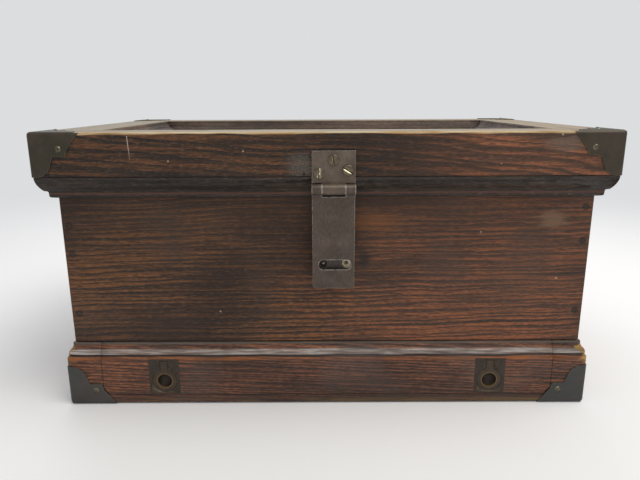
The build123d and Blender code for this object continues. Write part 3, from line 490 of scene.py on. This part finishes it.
def plinth_finish(name, grain, ends=True, lowest=False):
    """Stained softwood of the plinth. Depths are millimetres below its top."""
    finish = Finish(name)
    tones = (paint("#5c3f34"), paint("#985f40"), paint("#2c221e"))
    colour, roughness, height, late = softwood(
        finish, grain, 3.1 * MM, (-0.35, 0.0), 12 * MM, *tones, twist=0.05
    )
    top = base_high.z
    flow = finish.drawn_noise(14.0, 14.0, 90.0, 3.0)
    level = finish.z + (flow - 0.5) * (2.6 * MM)

    def above(low, high):
        """0 deeper than low, 1 above high."""
        return finish.step(level, top - low * MM, top - high * MM)

    bead = above(12.2, 10.8) - above(7.0, 5.4)
    fillet = above(2.6, 1.2)
    # painted sheen: the bead is painted pale grey in broken patches, a painted highlight on its rounded face
    sheen_clouds = finish.drawn_noise(40.0, 40.0, 500.0, 4.0)
    bead_sheen_colour = finish.mix(finish.step(sheen_clouds, 0.35, 0.65), paint("#82776f"), paint("#c0b7b2"))
    broken = finish.drawn_noise(22.0, 22.0, 160.0, 5.0, 0.65)
    painted_sheen = 0.45 + 0.5 * finish.step(broken, 0.34, 0.60)
    colour = finish.mix(bead * painted_sheen * (1 - 0.35 * late), colour, bead_sheen_colour)
    chips = finish.step(broken, 0.62, 0.72) * bead
    colour = finish.mix(chips * 0.6, colour, paint("#9c7a52"))
    colour = finish.mix(fillet * 0.75, colour, paint("#66605a"))
    # painted shade: the groove under the bead is painted dark
    quirk_shade = 1 - finish.step(abs(level - (top - 12.2 * MM)), 0.4 * MM, 1.2 * MM)
    colour = finish.mix(quirk_shade * 0.85, colour, paint("#231b18"))
    shoulder = above(17.0, 15.5) - above(14.0, 12.5)
    warm = finish.step(finish.noise(finish.vector(finish.x * 9.0, finish.y * 9.0, 0.0), 1.0, 3.0), 0.4, 0.62)
    colour = finish.mix(shoulder * (0.2 + 0.6 * warm), colour, paint("#a4602f"))
    grey = finish.step(finish.noise(finish.place, 19.0, 3.0), 0.46, 0.66)
    colour = finish.mix(grey * 0.42, colour, paint("#564a46"))
    rub = finish.step(finish.noise(finish.place, 130.0, 3.0), 0.4, 0.66)
    colour = finish.mix(arris(finish) * rub * 0.75, colour, paint("#94713f"))
    if lowest:
        foot = 1 - finish.step(level, base_low.z + 2 * MM, base_low.z + 7 * MM)
        colour = finish.mix(0.45, colour, paint("#3b2f2a"))
        colour = finish.mix(foot * finish.step(flow, 0.4, 0.6) * 0.7, colour, paint("#75603f"))
    if ends:
        torn = finish.drawn_noise(90.0, 90.0, 200.0, 3.0, 0.6)
        reach = abs(finish.x) + (torn - 0.5) * (24 * MM)
        chipped = finish.step(reach, 237.2 * MM, 241.5 * MM) * finish.step(torn, 0.36, 0.50)
        chipped = chipped * (0.45 + 0.55 * finish.step(finish.x, 0.0, 0.1))
        chipped = chipped * (1 - finish.step(finish.y, base_low.y + 4 * MM, base_low.y + 12 * MM))
        chipped = chipped * (1 - above(3.5, 2.0)) * above(21.0, 18.0)
        raw = finish.mix(finish.step(flow, 0.4, 0.6), paint("#8a6534"), paint("#b68d50"))
        colour = finish.mix(chipped * 0.85, colour, raw)
    return close_wood(finish, colour, roughness - 0.16 * bead, height)


plinth_front = plinth_finish("plinth_front_wood", "x")
plinth_side = plinth_finish("plinth_side_wood", "y", ends=False)
plinth_rail = plinth_finish("plinth_rail_wood", "x", ends=False, lowest=True)
print("moulding finishes:", cornice_front.name, plinth_front.name)

# %% [markdown]
# The metals are old and were never polished. The sheet-brass caps have gone olive on the lid and
# greenish grey on the base, with brown tarnish clouds and paler rims. The hasp is plain steel with a
# brown-grey skin. Along every metal edge a paler colour is painted, partly rubbed metal and partly
# painted highlight, strongest on the hasp, and the screw slots are painted dark as painted shade. The
# screws are brass, the ring pulls are brass too but nearly black, except where a finger has kept the
# ring's inside edge yellow.

# %% Metal finishes
def rim_light(finish, radius):
    """1 along a metal edge, found by comparing the true normal with one rounded over the edge."""
    rounded = finish.node("ShaderNodeBevel", {"samples": 6}, {"Radius": radius}, "Normal")
    true = finish.node("ShaderNodeNewGeometry", {}, {}, "True Normal")
    agree = finish.node("ShaderNodeVectorMath", {"operation": "DOT_PRODUCT"}, {0: rounded, 1: true}, "Value")
    return finish.step(1 - agree, 0.03, 0.22)


def metal_finish(name, base, cloud, rim, metallic, rough, mottling=38.0, rubbed=0.8, rim_width=0.8 * MM):
    """Tarnished metal in clouds of two colours, with a third along its edges, partly rubbed metal and partly
    painted highlight.
    """
    finish = Finish(name)
    broad = finish.noise(finish.place, mottling, 4.0, 0.6)
    fine = finish.drawn_noise(520.0, 420.0, 240.0, 4.0, 0.6)
    colour = finish.mix(finish.step(broad, 0.36, 0.68) * 0.85, paint(base), paint(cloud))
    colour = finish.mix((fine - 0.45) * 0.2, colour, paint(rim))
    stain = finish.noise(finish.place, mottling * 0.45, 3.0)
    colour = finish.mix(finish.step(stain, 0.50, 0.68) * 0.32, colour, paint("#2c2622"))
    chatter = finish.step(finish.noise(finish.place, 330.0, 2.0), 0.3, 0.6)
    # painted highlight: the rim colour along every edge is partly rubbed metal and partly painted highlight
    edge = rim_light(finish, rim_width) * chatter
    colour = finish.mix(edge * rubbed, colour, paint(rim))
    roughness = rough + (broad - 0.5) * 0.3 - edge * 0.12
    normal = finish.bump(fine * 0.5 + broad * 0.5, 0.1 * MM, 0.35)
    return finish, colour, roughness, metallic, normal


def metal(*recipe):
    finish, colour, roughness, metallic, normal = metal_finish(*recipe)
    return finish.surface(colour, roughness, metallic, normal)


lid_brass = metal("lid_brass", "#3d392e", "#50443a", "#7d7958", 0.5, 0.46)
base_brass = metal("base_brass", "#434442", "#504a48", "#75746c", 0.4, 0.5)
nail_brass = metal("nail_brass", "#55503f", "#6c6553", "#c9c3a6", 0.7, 0.3, 500.0)
hasp_steel = metal("hasp_steel", "#54473f", "#675a52", "#d8d2ca", 0.5, 0.40, 45.0, 1.0, 1.4 * MM)
plate_steel = metal("plate_steel", "#62554a", "#786a5d", "#d8d2ca", 0.5, 0.38, 60.0, 1.0, 1.4 * MM)
finish, colour, roughness, metallic, normal = metal_finish(
    "screw_brass", "#64594a", "#786c57", "#dccfae", 0.6, 0.34, 300.0, 0.8, 0.3 * MM
)
LIP_ENDS = 12 * MM  # the screw to the right of this has no painted highlight on the lip round its slot
head_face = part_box("hasp_screws")[0].y
# painted shade: the floor of each screw slot is painted dark; on the screws left of LIP_ENDS the lip is left
# bright as painted highlight
sunk = finish.step(finish.y, head_face + 0.3 * MM, head_face + 0.6 * MM)
slot_shade = sunk * (1 - finish.step(finish.y, head_face + 1.0 * MM, head_face + 1.2 * MM))
bright_lip = finish.step(rim_light(finish, 0.15 * MM), 0.2, 0.5) * (finish.x < LIP_ENDS)
slot_shade = slot_shade * (1 - bright_lip)
colour = finish.mix(slot_shade * 0.85, colour, paint("#1d1815"))
screw_brass = finish.surface(colour, roughness, metallic, normal)

finish, colour, roughness, metallic, normal = metal_finish(
    "staple_iron", "#4b4540", "#5c5148", "#8b8175", 0.5, 0.5, 220.0
)
# the plate round the empty right hole is painted pale, partly the pale raw wood of the hole and partly painted
# light
pale = ring_out(finish, stub_x + HOLE_SPREAD + 1.1 * MM, stub_z)
frayed = (finish.noise(finish.place, 420.0, 3.0) - 0.5) * (2 * MM)
colour = finish.mix((1 - finish.step(pale + frayed, 4 * MM, 5 * MM)) * 0.95, colour, paint("#d5cab4"))
staple_iron = finish.surface(colour, roughness, metallic, normal)
dark_iron = metal("dark_iron", "#3a3633", "#4c4138", "#6d655d", 0.6, 0.5, 220.0)
bare_steel = metal("bare_steel", "#8d867c", "#a09a8e", "#d0ccc2", 0.6, 0.4, 220.0)

pull_brass = metal("pull_brass", "#3d342d", "#483e36", "#6b5c48", 0.4, 0.5, 120.0, 0.6)
finish, colour, roughness, metallic, normal = metal_finish(
    "ring_brass", "#463b31", "#54473a", "#7d6849", 0.45, 0.46, 160.0, 0.7
)
ring_low, ring_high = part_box("pull_ring_right")
ring_reach = (ring_high.x - ring_low.x) / 2
from_middle = abs(abs(finish.x) - (ring_high.x + ring_low.x) / 2)
from_level = finish.z - (ring_low.z + ring_reach)
out = (from_middle * from_middle + from_level * from_level) ** 0.5
inner_rim = 1 - finish.step(out, ring_reach * 0.64, ring_reach * 0.74)
colour = finish.mix(inner_rim * 0.5, colour, paint("#8c6f45"))
ring_brass = finish.surface(colour, roughness, metallic, normal)
print("metal finishes ready")

# %% [markdown]
# Inside, nobody stained the wood: the drawer's sides, the floor and the backs of the boards are the
# same softwood, only browned by age. The recipe is the same with paler colours and less contrast.
# The lid's panel is thinner, redder stained wood, and the little moulding round it is dark.

# %% Inner wood
def inner_finish(name, grain):
    finish = Finish(name)
    tones = (paint("#a9804f"), paint("#bd955f"), paint("#6f4c2d"))
    colour, roughness, height, late = softwood(finish, grain, 4.2 * MM, (-0.4, 0.5), 20 * MM, *tones)
    dust = finish.noise(finish.place, 13.0, 4.0)
    colour = finish.mix(finish.step(dust, 0.45, 0.75) * 0.5, colour, paint("#6e5845"))
    return close_wood(finish, colour, roughness + 0.12, height, 0.3 * MM)


inner_along = inner_finish("inner_wood_x", "x")
inner_deep = inner_finish("inner_wood_y", "y")


def panel_finish(name, grain, soft, glow, hard):
    finish = Finish(name)
    tones = (paint(soft), paint(glow), paint(hard))
    colour, roughness, height, late = softwood(finish, grain, 5.5 * MM, (0.35, 0.4), 30 * MM, *tones)
    dust = finish.step(finish.noise(finish.place, 30.0, 4.0), 0.45, 0.8)
    colour = finish.mix(dust * 0.2, colour, paint("#8d8276"))
    return close_wood(finish, colour, roughness, height, 0.3 * MM)


panel_wood = panel_finish("panel_wood", "x", "#5e3527", "#7d4630", "#34221b")
trim_along = panel_finish("trim_wood_x", "x", "#4a3a30", "#665041", "#2b231f")
trim_deep = panel_finish("trim_wood_y", "y", "#4a3a30", "#665041", "#2b231f")
print("inner finishes ready")

# %% [markdown]
# A sawn and planed board has edges that are never knife sharp: they are eased with a plane and then
# nibbled away in use. Each wooden piece starts from its exact outline. It is cut across every
# centimetre, its real edges are bevelled, and the new strips are pushed inwards by a cloud pattern,
# so that the light catches each edge unevenly. The strips keep a mark called arris, which the
# wood finishes read to show rubbed wood just there.

# %% Edge tools
SMOOTH_TURN = math.radians(35)  # faces that turn less than this are shaded as one
SHARP_TURN = math.radians(32)  # edges that turn more than this are real corners
FLAT_TURN = math.radians(0.8)  # faces that turn less than this are joined
BEVEL_STEPS = 3
NIBBLE_SIZE = 11 * MM


def only(piece):
    """Nothing selected but this piece, and the piece active."""
    bpy.ops.object.select_all(action="DESELECT")
    piece.hide_set(False)
    piece.select_set(True)
    bpy.context.view_layer.objects.active = piece


def starting_shape(node, name):
    """A new piece with the outline of a node, its loose triangles joined to whole faces."""
    piece = bpy.data.objects.new(name, frame["nodes"][node].data.copy())
    bpy.context.scene.collection.objects.link(piece)
    piece.data.materials.clear()
    only(piece)
    bpy.ops.object.mode_set(mode="EDIT")
    bpy.ops.mesh.select_all(action="SELECT")
    bpy.ops.mesh.remove_doubles(threshold=0.005 * MM)
    bpy.ops.mesh.dissolve_limited(angle_limit=FLAT_TURN, delimit=set())
    bpy.ops.object.mode_set(mode="OBJECT")
    return piece


def block(name, low, high):
    """A square-cut block between two corners."""
    bpy.ops.object.select_all(action="DESELECT")
    bpy.ops.mesh.primitive_cube_add(size=1.0, location=(0, 0, 0))
    piece = bpy.context.object
    piece.name = name
    bpy.ops.object.mode_set(mode="EDIT")
    bpy.ops.mesh.select_all(action="SELECT")
    bpy.ops.transform.resize(value=high - low)
    bpy.ops.transform.translate(value=(high + low) / 2)
    bpy.ops.object.mode_set(mode="OBJECT")
    return piece


def cut_across(piece, spacing, rank=0):
    """Cut the piece across its longest side, or the next longest, so that its edges can wander."""
    low = [min(v.co[i] for v in piece.data.vertices) for i in range(3)]
    high = [max(v.co[i] for v in piece.data.vertices) for i in range(3)]
    size = [b - a for a, b in zip(low, high)]
    axis = size.index(sorted(size)[-1 - rank])
    count = int(size[axis] / spacing)
    only(piece)
    bpy.ops.object.mode_set(mode="EDIT")
    for step in range(1, count):
        bpy.ops.mesh.select_all(action="SELECT")
        place = [0.0, 0.0, 0.0]
        place[axis] = low[axis] + size[axis] * step / count
        normal = [0.0, 0.0, 0.0]
        normal[axis] = 1.0
        bpy.ops.mesh.bisect(plane_co=place, plane_no=normal)
    bpy.ops.object.mode_set(mode="OBJECT")


def pick_sharp_edges(piece, shortest):
    """Select the edges where two faces meet at a real corner, leaving out the rims of small holes."""
    mesh = piece.data
    faces_of = {}
    for face in mesh.polygons:
        for key in face.edge_keys:
            faces_of.setdefault(key, []).append(face)
    bpy.context.tool_settings.mesh_select_mode = (False, True, False)
    picked = 0
    for item in (mesh.vertices, mesh.edges, mesh.polygons):
        item.foreach_set("select", [False] * len(item))
    for edge in mesh.edges:
        sides = faces_of.get(edge.key, [])
        a, b = [mesh.vertices[i].co for i in edge.vertices]
        if len(sides) != 2 or (a - b).length < shortest:
            continue
        first, second = sides
        out = (first.center - second.center).dot(first.normal - second.normal)
        if first.normal.angle(second.normal, 0.0) > SHARP_TURN and out > 0:
            edge.select = True
            picked += 1
    return picked


def ease_edges(piece, width, nibble, shortest=4 * MM):
    """Bevel the real edges, mark the new strips as arris, and push them in unevenly."""
    only(piece)
    picked = pick_sharp_edges(piece, shortest)
    bpy.ops.object.mode_set(mode="EDIT")
    if picked:
        bpy.ops.mesh.bevel(
            offset=width, segments=BEVEL_STEPS, profile=0.5, affect="EDGES", clamp_overlap=True
        )
        bpy.ops.mesh.select_less()
        bpy.context.tool_settings.mesh_select_mode = (True, False, False)
        bpy.ops.object.vertex_group_assign_new()
    bpy.ops.object.mode_set(mode="OBJECT")
    marks = [0.0] * len(piece.data.vertices)
    if piece.vertex_groups:
        group = piece.vertex_groups[0]
        group.name = "edge_strips"
        for vertex in piece.data.vertices:
            if any(g.group == group.index for g in vertex.groups):
                marks[vertex.index] = 1.0
        if nibble:
            clouds = bpy.data.textures.get("nibbles") or bpy.data.textures.new("nibbles", "CLOUDS")
            clouds.noise_scale = NIBBLE_SIZE
            push = piece.modifiers.new("nibbled", "DISPLACE")
            push.texture = clouds
            push.texture_coords = "LOCAL"
            push.vertex_group = group.name
            push.mid_level = 1.0
            push.strength = nibble
            bpy.ops.object.modifier_apply(modifier=push.name)
    piece.data.attributes.new("arris", "FLOAT", "POINT").data.foreach_set("value", marks)
    bpy.ops.object.shade_smooth_by_angle(angle=SMOOTH_TURN)
    return picked


def dress(piece, material, body, node):
    """Give the piece its finish and its place on a moving body, and hide the part it stands for."""
    piece.data.materials.clear()
    piece.data.materials.append(material)
    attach(piece, body)
    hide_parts(node)


def worn_piece(node, name, material, body, width, nibble, spacing=11 * MM, shortest=4 * MM):
    """Remake a node's piece with its edges eased, and dress it."""
    piece = starting_shape(node, name)
    if spacing:
        cut_across(piece, spacing)
    picked = ease_edges(piece, width, nibble, shortest)
    dress(piece, material, body, node)
    print(f"{name}: {picked} edges eased, {len(piece.data.polygons)} faces")


print("edge tools ready")

# %% [markdown]
# The case is four boards nailed together. The front and back cover the ends of the side boards, so
# their own end grain shows at the corners. All the corners have lost a millimetre or so.

# %% Case boards
def case_board(node, name, material, width, nibble):
    """One board of the case, its face a hair behind the nail heads."""
    low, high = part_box(node)
    skin = Vector((0.1, 0.1, 0.0)) * MM
    piece = block(name, low + skin, high - skin)
    cut_across(piece, 9 * MM)
    cut_across(piece, 9 * MM, 1)
    picked = ease_edges(piece, width, nibble)
    dress(piece, material, "case", node)
    print(f"{name}: {picked} edges eased, {len(piece.data.polygons)} faces")


case_board("front_board", "board_front", case_front, 1.1 * MM, 1.3 * MM)
case_board("left_board", "board_left", case_side, 0.8 * MM, 0.8 * MM)
case_board("right_board", "board_right", case_side, 0.8 * MM, 0.8 * MM)
worn_piece("back_board", "board_back", case_back, "case", 1.1 * MM, 1.3 * MM)

# %% [markdown]
# The lid is a frame of four deep rails, mitred at the corners, with a thin panel let in lower down.
# Its outer top edge is the most worn edge on the chest, so it gets the widest bevel.

# %% Lid rails and trim
RAIL_WIDTH = 46 * MM
RAIL_WALL = 26 * MM
RAIL_FLANGE = 11 * MM


def pick_faces(piece, test):
    """Select the faces whose centre and normal pass a test."""
    bpy.context.tool_settings.mesh_select_mode = (False, False, True)
    for item in (piece.data.vertices, piece.data.edges, piece.data.polygons):
        item.foreach_set("select", [False] * len(item))
    for face in piece.data.polygons:
        face.select = test(face.center, face.normal)


def lid_rail(side, material, turn, width, nibble):
    """One rail: a flat flange, its outer strip drawn down into a wall, both ends cut to a mitre."""
    along_x = side in ("front", "back")
    half = (lid_high.x if along_x else lid_high.y) - 0.1 * MM
    face = (lid_low.y if along_x else lid_low.x) + 0.05 * MM
    top = lid_high.z - 0.05 * MM
    low = Vector((-half, face, top - RAIL_FLANGE))
    piece = block(f"lid_rail_{side}", low, Vector((half, face + RAIL_WIDTH, top)))
    bpy.ops.object.mode_set(mode="EDIT")
    bpy.ops.mesh.select_all(action="SELECT")
    bpy.ops.mesh.bisect(plane_co=(0, face + RAIL_WALL, 0), plane_no=(0, 1, 0))
    bpy.ops.object.mode_set(mode="OBJECT")
    pick_faces(piece, lambda centre, normal: normal.z < -0.9 and centre.y < face + RAIL_WALL)
    bpy.ops.object.mode_set(mode="EDIT")
    drop = lid_low.z - low.z + 0.05 * MM
    bpy.ops.mesh.extrude_region_move(TRANSFORM_OT_translate={"value": (0, 0, drop)})
    for end in (-1, 1):
        bpy.ops.mesh.select_all(action="SELECT")
        corner = (end * half, face, 0)
        bpy.ops.mesh.bisect(plane_co=corner, plane_no=(end, 1, 0), clear_outer=True, use_fill=True)
    bpy.ops.mesh.select_all(action="SELECT")
    bpy.ops.transform.rotate(value=-math.radians(turn), orient_axis="Z", center_override=(0, 0, 0))
    bpy.ops.object.mode_set(mode="OBJECT")
    cut_across(piece, 9 * MM)
    picked = ease_edges(piece, width, nibble)
    dress(piece, material, "lid", f"lid_frame_{side}")
    lowest = [round(min(v.co[i] for v in piece.data.vertices) / MM, 1) for i in range(3)]
    print(f"{piece.name}: {picked} edges eased, lowest corner {lowest}")


lid_rail("front", lid_front, 0, 1.6 * MM, 1.2 * MM)
lid_rail("left", lid_side, -90, 1.2 * MM, 1.0 * MM)
lid_rail("right", lid_side, 90, 1.2 * MM, 1.0 * MM)
worn_piece("lid_frame_back", "lid_rail_back", lid_back, "lid", 1.2 * MM, 1.0 * MM)
for side, trim in (("front", trim_along), ("back", trim_along), ("left", trim_deep), ("right", trim_deep)):
    worn_piece(f"lid_moulding_{side}", f"lid_trim_{side}", trim, "lid",
               0.5 * MM, 0.4 * MM, 16 * MM)
worn_piece("lid_panel", "panel_board", panel_wood, "lid", 0.5 * MM, 0.3 * MM, 40 * MM)

# %% [markdown]
# The cornice hides the joint between lid and case on the front and both ends. It is a run moulding:
# a thin fascia, a swelling curve, a fine groove and a small foot. The plinth is moulded as well,
# with its corner blocks a hair out of line with the drawer's front, as fitted wood always is.

# %% Cornice and plinth
for side, material in (("front", cornice_front), ("left", cornice_side), ("right", cornice_side)):
    worn_piece(f"cornice_{side}", f"cornice_run_{side}", material, "case",
               0.35 * MM, 0.35 * MM)
for side in ("left", "right"):
    worn_piece(f"base_block_{side}", f"plinth_block_{side}", plinth_front, "case",
               0.8 * MM, 1.0 * MM, 6 * MM, 2 * MM)
for side, material in (("left", plinth_side), ("right", plinth_side), ("back", plinth_front)):
    worn_piece(f"base_skirt_{side}", f"plinth_run_{side}", material, "case",
               0.6 * MM, 0.6 * MM)
worn_piece("bottom_rail", "plinth_rail_bottom", plinth_rail, "case", 0.9 * MM, 0.9 * MM)
worn_piece("drawer_front", "drawer_face", plinth_front, "drawer", 0.8 * MM, 0.9 * MM)

# %% [markdown]
# Each brass cap was cut from sheet with snips and bent over the corner by hand, then nailed through
# every leaf. Its outline keeps a small burr, painted paler along the rim, partly bare brass and partly
# painted highlight.

# %% Corner caps
for end in ("front", "back"):
    for side in ("left", "right"):
        worn_piece(f"lid_cap_{end}_{side}", f"lid_corner_{end}_{side}", lid_brass, "lid",
                   0.22 * MM, 0.0, None, 2.5 * MM)
        worn_piece(f"base_cap_{end}_{side}", f"base_corner_{end}_{side}", base_brass, "case",
                   0.22 * MM, 0.0, None, 2.5 * MM)

# %% [markdown]
# The hasp is a steel hinge: a short plate screwed to the lid and a long leaf with a slot that drops
# over the staple. The staple itself is gone: a wooden pad, its face plate and one broken leg remain.
# The three screws were driven by hand, so each slot stopped at its own angle, and the heads are turned
# to match.

# %% Hasp, staple pad and ring pulls
# Each hasp screw: the place of its head, and how many degrees it is turned.
SCREW_HEADS = ((18.0 * MM, 225.3 * MM, 26), (-6.6 * MM, 222.5 * MM, 90), (5.6 * MM, 234.1 * MM, 90))
SCREW_REACH = 5.5 * MM


def turn_screws():
    """The three hasp screws, each turned about its own axis to where its slot was left."""
    screws = starting_shape("hasp_screws", "hasp_wood_screws")
    for x, z, turn in SCREW_HEADS:
        bpy.ops.object.mode_set(mode="EDIT")
        bpy.ops.mesh.select_all(action="DESELECT")
        bpy.ops.object.mode_set(mode="OBJECT")
        for vertex in screws.data.vertices:
            vertex.select = math.hypot(vertex.co.x - x, vertex.co.z - z) < SCREW_REACH
        bpy.ops.object.mode_set(mode="EDIT")
        bpy.ops.transform.rotate(value=math.radians(turn), orient_axis="Y", center_override=(x, 0, z))
        bpy.ops.object.mode_set(mode="OBJECT")
    bpy.ops.object.shade_smooth_by_angle(angle=SMOOTH_TURN)
    dress(screws, screw_brass, "lid", "hasp_screws")


worn_piece("hasp_plate", "hasp_fixed_plate", plate_steel, "lid", 0.25 * MM, 0.0, None, 3 * MM)
worn_piece("hasp_leaf", "hasp_swinging_leaf", hasp_steel, "hasp", 0.25 * MM, 0.0, None, 2 * MM)
turn_screws()
worn_piece("staple_block", "staple_pad", pad_wood, "case", 0.8 * MM, 0.6 * MM, None, 2 * MM)
worn_piece("staple_plate", "staple_face_plate", staple_iron, "case", 0.3 * MM, 0.0, None, 2 * MM)
for side in ("left", "right"):
    worn_piece(f"pull_plate_{side}", f"pull_back_{side}", pull_brass, "drawer",
               0.3 * MM, 0.0, None, 2 * MM)
    worn_piece(f"pull_ring_{side}", f"pull_finger_ring_{side}", ring_brass, f"ring_{side}",
               0.45 * MM, 0.0, None, 0.3 * MM)

# %% [markdown]
# The small parts whose shape is already right, such as nails, screws and pins, and the wood that only
# shows when the lid or the drawer is open, keep their shape and get their finish.

# %% Finishes of the carried-over pieces
kept_finishes = {
    inner_along: ("chest_floor", "bottom_board", "drawer_back", "drawer_bottom", "drawer_stops"),
    inner_deep: ("drawer_side_left", "drawer_side_right", "drawer_guides"),
    nail_brass: ("lid_cap_nails", "base_cap_nails"),
    dark_iron: ("case_nails", "hinge_pins", "case_hinge_leaves", "lid_hinge_leaves"),
    bare_steel: ("staple_leg",),
    hasp_steel: ("hasp_pin",),
    screw_brass: ("case_hinge_screws", "lid_hinge_screws"),
    pull_brass: ("pull_pins",),
}
for material, names in kept_finishes.items():
    for name in names:
        slots = frame["nodes"][name].data.materials
        slots.clear()
        slots.append(material)
covered = {name for names in kept_finishes.values() for name in names}
shown = {name for name, node in frame["nodes"].items() if not node.hide_render}
print("finished in place:", len(covered), "still unfinished:", sorted(shown - covered))

# %% [markdown]
# The floor is one wide pale sheet. The light is a soft studio: a bright room all round, one large
# lamp above, to the right and in front, so the lid's edge and the bead shine, and a weaker one behind.

# %% Floor and light
bpy.ops.object.select_all(action="DESELECT")
bpy.ops.mesh.primitive_plane_add(size=30.0, location=(0, 0, 0))
floor = bpy.context.object
floor.name = "pale_floor"
ground = Finish("pale_floor")
soft_stain = ground.noise(ground.place, 1.3, 3.0)
is_seen = ground.node("ShaderNodeLightPath", {}, {}, "Is Camera Ray")
floor_colour = ground.mix(ground.step(soft_stain, 0.3, 0.7), paint("#dededf"), paint("#e6e6e8"))
floor_colour = ground.mix(is_seen, floor_colour, paint("#f8f8f9"))
sheet = ground.node("ShaderNodeBsdfDiffuse", {}, {"Color": floor_colour})
distance = (ground.x * ground.x + ground.y * ground.y) ** 0.5
far = ground.step(distance, 0.45, 1.5) * is_seen
haze = ground.node("ShaderNodeEmission", {}, {"Color": paint("#dcdddf"), "Strength": 1.0})
joined = ground.node("ShaderNodeMixShader", {}, {0: far, 1: sheet, 2: haze})
ground.node("ShaderNodeOutputMaterial", {}, {"Surface": joined}, None)
floor.data.materials.append(ground.material)

world = bpy.data.worlds.new("studio")
bpy.context.scene.world = world
world.use_nodes = True
world.node_tree.nodes.clear()


class Room(Finish):
    """The same node method, working in the world's node tree."""

    def __init__(self, tree):
        self.tree = tree


room = Room(world.node_tree)
glow = room.node("ShaderNodeBackground", {}, {"Color": paint("#fbfaf8"), "Strength": 0.60})
seen = room.node("ShaderNodeBackground", {}, {"Color": paint("#dcdddf"), "Strength": 1.0})
is_camera = room.node("ShaderNodeLightPath", {}, {}, "Is Camera Ray")
both = room.node("ShaderNodeMixShader", {}, {0: is_camera, 1: glow, 2: seen})
room.node("ShaderNodeOutputWorld", {}, {"Surface": both}, None)


# Each lamp: its name, its place, what it faces, width and depth in metres, watts and colour.
LAMPS = (
    ("lamp_above", (0.75, -0.45, 1.7), (0, 0, 0.15), (1.5, 1.1), 18.0, "#fffdf8"),
    ("lamp_back", (-0.3, 1.3, 1.3), (0, 0, 0.2), (1.6, 0.8), 7.0, "#f3f6ff"),
)


def soft_lamp(name, place, target, size, watts, colour):
    data = bpy.data.lights.new(name, "AREA")
    data.shape = "RECTANGLE"
    data.size, data.size_y = size
    data.energy = watts
    data.color = paint(colour)[:3]
    lamp = bpy.data.objects.new(name, data)
    bpy.context.scene.collection.objects.link(lamp)
    lamp.location = place
    lamp.rotation_euler = (Vector(target) - Vector(place)).to_track_quat("-Z", "Y").to_euler()


for lamp in LAMPS:
    soft_lamp(*lamp)
bpy.context.scene.view_settings.view_transform = "Standard"
print("floor and lamps ready")
